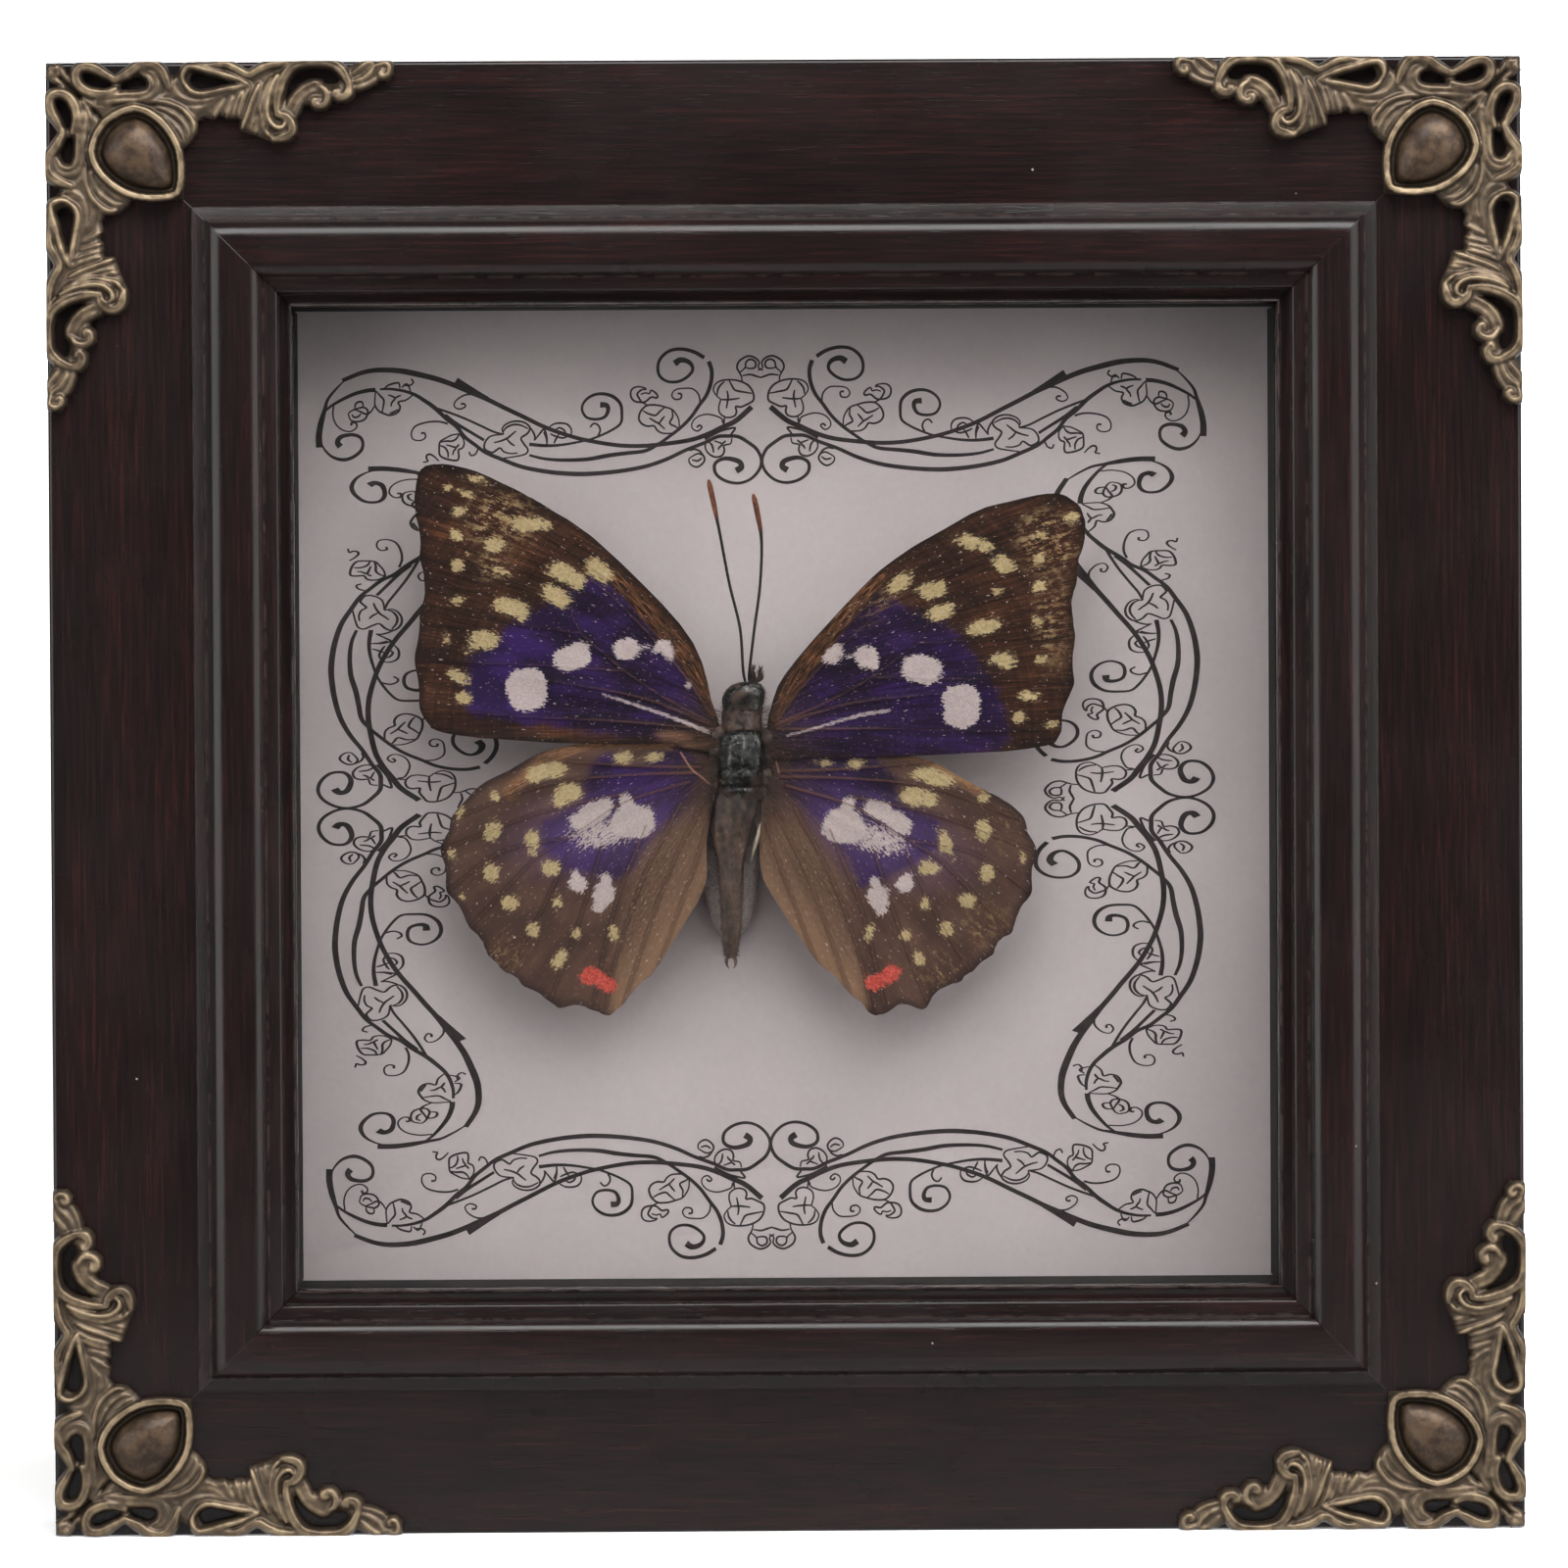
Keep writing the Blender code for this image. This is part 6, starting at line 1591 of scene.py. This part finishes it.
def build_head():
    points, faces, out, along, angle, index = turned_body(HEAD_SECTIONS, 6, 48)
    eye = np.exp(-(((np.abs(np.sin(angle)) - 0.92) / 0.3) ** 2) - ((along - 0.45) / 0.22) ** 2)
    points = points + out * (0.16 * eye + 0.16 * lumps(points, 1.3, 3))[:, None]
    points, faces = capped(points, faces, index)
    # Painted highlights: pale spots round the listed places, on the head's front only.
    glint = sum(
        np.exp(-((points[:, 0] - x) ** 2 + (points[:, 2] - z) ** 2) / size**2)
        for x, z, size in HEAD_GLINTS
    )
    skin = glossy_skin("head_skin", srgb(7, 5, 5), srgb(24, 18, 16), srgb(86, 66, 46))
    tan = 0.8 * np.clip(0.35 + lumps(points, 2.4, 4) * 3, 0, 1)
    mesh_piece(
        "specimen_head", points, faces, skin, "insect_body", ["head"],
        smooth=180, tan=tan, glint=0.8 * glint * (points[:, 1] < -1),
    )


def wing_base(centre, size, tilt):
    """A dark swelling where a wing joins the thorax."""
    turns = np.linspace(0.02, math.pi - 0.02, 14)
    sections = [
        (0, 0, math.cos(t) * size[2], math.sin(t) * size[0], math.sin(t) * size[1]) for t in turns
    ]
    knob, faces, out, _, _, index = turned_body(sections, 2, 26)
    knob = knob + out * (0.25 * lumps(knob + centre, 1.2, 9))[:, None]
    knob, faces = capped(knob, faces, index)
    return knob @ turned(tilt).T + centre, faces


def build_thorax():
    points, faces, out, along, angle, index = turned_body(THORAX_SECTIONS, 9, 84)
    front = np.clip(np.cos(angle), 0, 1)
    groove = bell(np.sin(angle), 0.10) * front * 0.22
    middle = np.clip((along - 0.33) / 0.03, 0, 1) * np.clip((0.62 - along) / 0.04, 0, 1)
    ridges = sum(bell(np.sin(angle) - place, 0.07) for place in THORAX_RIDGES) * front * middle
    seams = sum(bell(along - seam, 0.014) for seam in THORAX_SEAMS) * 0.26
    rough = 0.28 * lumps(points, 2.2, 5) + 0.20 * lumps(points, 0.8, 6)
    points = points + out * (0.32 * ridges - groove - seams + rough)[:, None]
    collar = np.clip((0.31 - along) / 0.02, 0, 1) + 0.85 * np.clip((along - 0.56) / 0.2, 0, 1)
    collar = np.maximum(collar, 0.7 * np.abs(np.sin(angle)) ** 6)
    x, z, size = SCUTELLUM
    collar *= 1 - np.exp(-((np.hypot(points[:, 0] - x, points[:, 2] - z) / size) ** 6))
    trunk = [capped(points, faces, index)]
    tan = np.append(collar, [1, 1])
    # Painted highlights: pale lines along the three ridges.
    glint = np.append(0.75 * np.clip(ridges, 0, 1) ** 2, [0, 0])
    for centre, size, tilt in WING_BASES:
        knob, knob_faces = wing_base(centre, size, tilt)
        trunk.append((knob, knob_faces))
        tan = np.append(tan, np.full(len(knob), 0.55))
        glint = np.append(glint, np.zeros(len(knob)))
    skin = glossy_skin("thorax_skin", srgb(7, 7, 7), srgb(25, 25, 23), srgb(88, 86, 78))
    mesh_piece(
        "specimen_thorax", *join_meshes(trunk), skin, "insect_body", ["thorax"],
        smooth=180, tan=tan, glint=glint,
    )


def build_abdomen(skin):
    """The abdomen: ringed and keeled, and darker towards its top, where it meets the thorax."""
    points, faces, out, along, angle, index = turned_body(ABDOMEN_SECTIONS, 10, 64)
    rings = sum(bell(along - ring, 0.008) for ring in ABDOMEN_RINGS) * 0.06
    keel = bell(np.sin(angle), 0.2) * np.clip(np.cos(angle), 0, 1) * 0.16
    flanks = bell(np.abs(np.sin(angle)) - 0.86, 0.10) * 0.14
    points = points + out * (keel + flanks - rings + 0.12 * lumps(points, 1.1, 8))[:, None]
    # Darker towards the top, where the abdomen meets the thorax.
    inky = 0.8 * np.clip((0.36 - along) / 0.2 + 1.5 * lumps(points, 1.6, 10), 0, 1) * (along < 0.45)
    points, faces = capped(points, faces, index)
    mesh_piece(
        "specimen_abdomen", points, faces, skin, "insect_body", ["abdomen"],
        smooth=180, inky=np.append(inky, [1, 0]),
    )


def build_claspers(skin):
    """The two hooks at the abdomen's tip."""
    claspers = []
    for side in (-1, 1):
        sections = [
            (-7.65 + side * 0.42, 0.8, 78.0, 0.30, 0.34), (-7.65 + side * 0.62, 0.7, 77.3, 0.24, 0.28),
            (-7.62 + side * 0.55, 0.6, 76.7, 0.14, 0.18), (-7.60 + side * 0.30, 0.5, 76.3, 0.06, 0.08),
        ]
        claspers.append(closed_body(sections, 4, 12))
    mesh_piece("claspers", *join_meshes(claspers), skin, "insect_body", smooth=180)


def build_trunk():
    """The body from the head back, and the turned wing edge beside it."""
    build_head()
    build_thorax()
    skin = glossy_skin("abdomen_skin", srgb(56, 42, 36), srgb(110, 86, 75), srgb(168, 140, 122), 0.16)
    build_abdomen(skin)
    flake = insect_material("pale_flake", srgb(150, 134, 114), srgb(192, 178, 158), 0.5, 1500.0)
    build_turned_edge(flake)
    build_claspers(skin)


def build_turned_edge(material):
    """The pale flake where the right hindwing's inner edge has turned over beside the abdomen."""
    sections = [
        (-3.6, -0.7, 96.2, 0.05, 0.05), (-3.75, -0.9, 95.4, 0.2, 0.12), (-3.95, -1.0, 94.3, 0.27, 0.14),
        (-4.3, -0.8, 93.0, 0.25, 0.14), (-4.6, -0.4, 91.9, 0.15, 0.1), (-4.9, 0.2, 90.9, 0.04, 0.05),
    ]
    mesh_piece("turned_wing_edge", *closed_body(sections, 6, 14), material, "wing_scales", smooth=180)


def build_antennae():
    """Fine ringed stalks that thicken into russet clubs."""
    skin = Finish("antenna_skin", Roughness=0.5, Specular_IOR_Level=0.3)
    club = skin.attribute("club")
    speckle = skin.noise(skin.place(), 2500.0, 3.0)
    stalk = skin.ramp(speckle, (0.35, srgb(20, 15, 14)), (0.65, srgb(46, 34, 30)))
    russet = skin.ramp(speckle, (0.35, srgb(88, 44, 28)), (0.65, srgb(136, 78, 50)))
    skin.set("Base Color", skin.mix(skin.band(club, 0.15, 0.7), stalk, russet))
    skin.bump(speckle, 0.03)
    for side, route in ANTENNAE.items():
        line = spline(route, 26)
        span = np.gradient(line, axis=0)
        left = np.stack([-span[:, 1], span[:, 0]], axis=1) / np.linalg.norm(span, axis=1)[:, None]
        from_tip = np.cumsum(np.linalg.norm(np.diff(line[::-1], axis=0), axis=1))
        from_tip = np.concatenate([[0], from_tip])[::-1]
        club = 1 / (1 + np.exp((from_tip - CLUB_LENGTH * 0.75) / 0.7))
        tip = np.sqrt(np.clip(from_tip / 0.9, 0, 1))
        radius = (0.20 + 0.18 * club) * (0.25 + 0.75 * tip)
        radius *= 1 + 0.07 * np.sin(from_tip * 2 * math.pi / 0.42)
        depth = -0.9 - 1.1 * np.sin(np.linspace(0, math.pi / 2, len(line)))
        turns = np.linspace(0, 2 * math.pi, STALK_SIDES, endpoint=False)
        rings = []
        for centre, aside, size in zip(upright(line, depth), left, radius):
            across = np.outer(np.cos(turns), [aside[0], 0, aside[1]])
            across = across + np.outer(np.sin(turns), [0, -1, 0])
            rings.append(centre + across * size)
        index = np.arange(len(line) * STALK_SIDES).reshape(-1, STALK_SIDES)
        faces = [(a, d, c, b) for a, b, c, d in ring_quads(index)]
        points, faces = capped(np.concatenate(rings), faces, index[:, ::-1])
        shade = np.concatenate([np.repeat(club, STALK_SIDES), [0, 1]])
        name = "antenna_" + side
        mesh_piece(
            name + "_fine", points, faces, skin.material, "insect_body", [name],
            smooth=180, club=shade,
        )


def coat_hairs(rng, sections, count, low, high, length):
    """Short hairs on the front of a part of the body, lying backwards."""
    rows = spline(sections, 30)
    pick = rows[(rng.uniform(low, high, count) * (len(rows) - 1)).astype(int)]
    out = outward(rng.uniform(-1.9, 1.9, count))
    roots = pick[:, :3] + out * pick[:, 3:5][:, [0, 1, 1]] * (1, 1, 0) * 0.97
    lean = out + np.array([0, 0.1, -1.4]) + rng.normal(size=(count, 3)) * 0.35
    return hairs(roots, lean, length * rng.uniform(0.5, 1.3, count), 0.055, 21)


def wing_root_hairs(rng, side, count):
    """Long hairs that lie from the thorax over the wing roots."""
    height = rng.uniform(97.5, 112.0, count)
    roots = [-6.1 + side * rng.uniform(2.2, 4.4, count), rng.uniform(-1.7, 0.3, count), height]
    lean = [side * rng.uniform(0.6, 1.3, count), rng.uniform(-0.25, 0.1, count), (height - 106) * 0.05]
    lean = np.stack(lean, axis=1) + rng.normal(size=(count, 3)) * (0.25, 0.12, 0.3)
    return hairs(np.stack(roots, axis=1), lean, rng.uniform(0.8, 2.6, count), 0.05, 31 + side)


def build_fuzz():
    """Hairs on the thorax, head and abdomen, long ones over the wing roots, and the two bristly palps."""
    rng = np.random.default_rng(BODY_SEED)
    tufts = [coat_hairs(rng, *coat) for coat in COATS]
    tufts += [wing_root_hairs(rng, side, ROOT_HAIRS) for side in (-1, 1)]
    fuzz = insect_material("body_fuzz", srgb(22, 17, 15), srgb(84, 66, 54), 0.6, 700.0, 0.25)
    mesh_piece("body_fuzz", *join_meshes(tufts), fuzz, "insect_body")
    palps = []
    for x, top in ((-4.5, 117.6), (-3.5, 117.4)):
        sections = [
            (-4.7, -0.9, 115.2, 0.5, 0.45), (x, -1.1, 116.0, 0.5, 0.45),
            (x + 0.03, -1.1, top - 0.5, 0.25, 0.25), (x + 0.1, -1.0, top, 0.06, 0.06),
        ]
        palps.append(closed_body(sections, 5, 14))
        rows = spline(sections, 20)
        pick = rows[rng.integers(0, len(rows), PALP_HAIRS)]
        out = outward(rng.uniform(0, 2 * math.pi, PALP_HAIRS))
        roots = pick[:, :3] + out * pick[:, 3:4] * 0.8
        lengths = rng.uniform(0.3, 0.8, PALP_HAIRS)
        palps.append(hairs(roots, out * 0.5 + (0, 0, 1), lengths, 0.05, 41))
    mesh_piece("palps", *join_meshes(palps), fuzz, "insect_body", smooth=60)


def build_rest_pad():
    """The oval foam pad behind the abdomen, its rim rounded over."""
    low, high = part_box("rest_pad")
    centre = (low + high) / 2 / MM
    half_x, half_z = (high.x - low.x) / 2 / MM, (high.z - low.z) / 2 / MM
    front, back = low.y / MM, high.y / MM
    # Each ring: its size as a share of the pad's, and its depth.
    rows = [(0.25, front), (0.5, front), (0.72, front + 0.05)]
    for t in np.linspace(0.25, 1.5, 8):
        rows.append((0.72 + 0.28 * math.sin(t), front + 1.6 - 1.55 * math.cos(t)))
    rows += [(1.0, y) for y in np.linspace(front + 1.8, back - 0.4, 8)]
    rows += [(0.985, back - 0.12), (0.95, back), (0.5, back)]
    turns = np.linspace(0, 2 * math.pi, PAD_SIDES, endpoint=False)
    oval = np.stack([np.cos(turns) * half_x, np.sin(turns) * half_z], axis=1)
    points = np.concatenate([upright(oval * reach, y) for reach, y in rows]) + (centre.x, 0, centre.z)
    points[:, 1] += 0.05 * lumps(points, 1.4, 13) * (points[:, 1] < back - 0.5)
    index = np.arange(len(points)).reshape(-1, PAD_SIDES)
    points, faces = capped(points, ring_quads(index), index)
    foam = Finish("grey_foam", Roughness=0.95, Specular_IOR_Level=0.15)
    cells = foam.cells(foam.place(), 2600.0)
    foam.set("Base Color", foam.ramp(cells, (0.1, srgb(142, 130, 127)), (0.6, srgb(172, 158, 155))))
    foam.bump(cells, 0.12)
    pad = mesh_piece(
        "foam_rest_pad", points, faces, foam.material, "foam_pad", ["rest_pad"], smooth=60,
    )


# ---------------------------------------------------------------- spacers and back

def paper_covered(name, dark, light, scale, depth):
    """A covered or pressed board: fibres at one scale, tone at a broader one."""
    board = Finish(name, Roughness=0.8, Specular_IOR_Level=0.25)
    fibre = board.noise(board.place(), scale, 5.0, 0.65)
    cloud = board.noise(board.place(), scale / 12, 3.0)
    halfway = tuple((a + b) / 2 for a, b in zip(dark, light))
    tone = board.total((fibre, 0.6), (cloud, 0.4))
    board.set("Base Color", board.ramp(tone, (0.34, dark), (0.5, halfway), (0.66, light)))
    board.bump(fibre, depth)
    return board.material


def steel_material():
    """Bright zinc plate with a faint crystal pattern and handling marks."""
    steel = Finish("zinc_steel", Metallic=1.0)
    crystals = steel.grey(steel.cells(steel.place(), 900.0, "Color"))
    scuff = steel.noise(steel.place(), 1400.0, 4.0)
    steel.set("Base Color", steel.ramp(crystals, (0.2, srgb(150, 150, 148)), (0.8, srgb(188, 188, 184))))
    steel.set("Roughness", steel.band(scuff, 0.3, 0.7, 0.28, 0.48))
    steel.bump(scuff, 0.01)
    return steel.material


def build_back():
    lining = paper_covered("black_spacer", srgb(22, 18, 18), srgb(38, 32, 31), 1800.0, 0.03)
    hardboard = paper_covered("hardboard", srgb(92, 66, 42), srgb(140, 108, 74), 900.0, 0.05)
    steel = steel_material()
    for side in SIDES:
        dress("spacer_" + side, lining)
        for number in ("1", "2"):
            dress("flex_point_" + side + "_" + number, steel)
    dress("back_board", hardboard)
    for node in ("sawtooth_hanger", "hanger_nail_left", "hanger_nail_right"):
        dress(node, steel)


build_camera()
build_stage()
build_rails(wood_material())
build_castings(bronze_material())
build_box()
build_wings(wing_material())
build_trunk()
build_antennae()
build_fuzz()
build_rest_pad()
build_back()
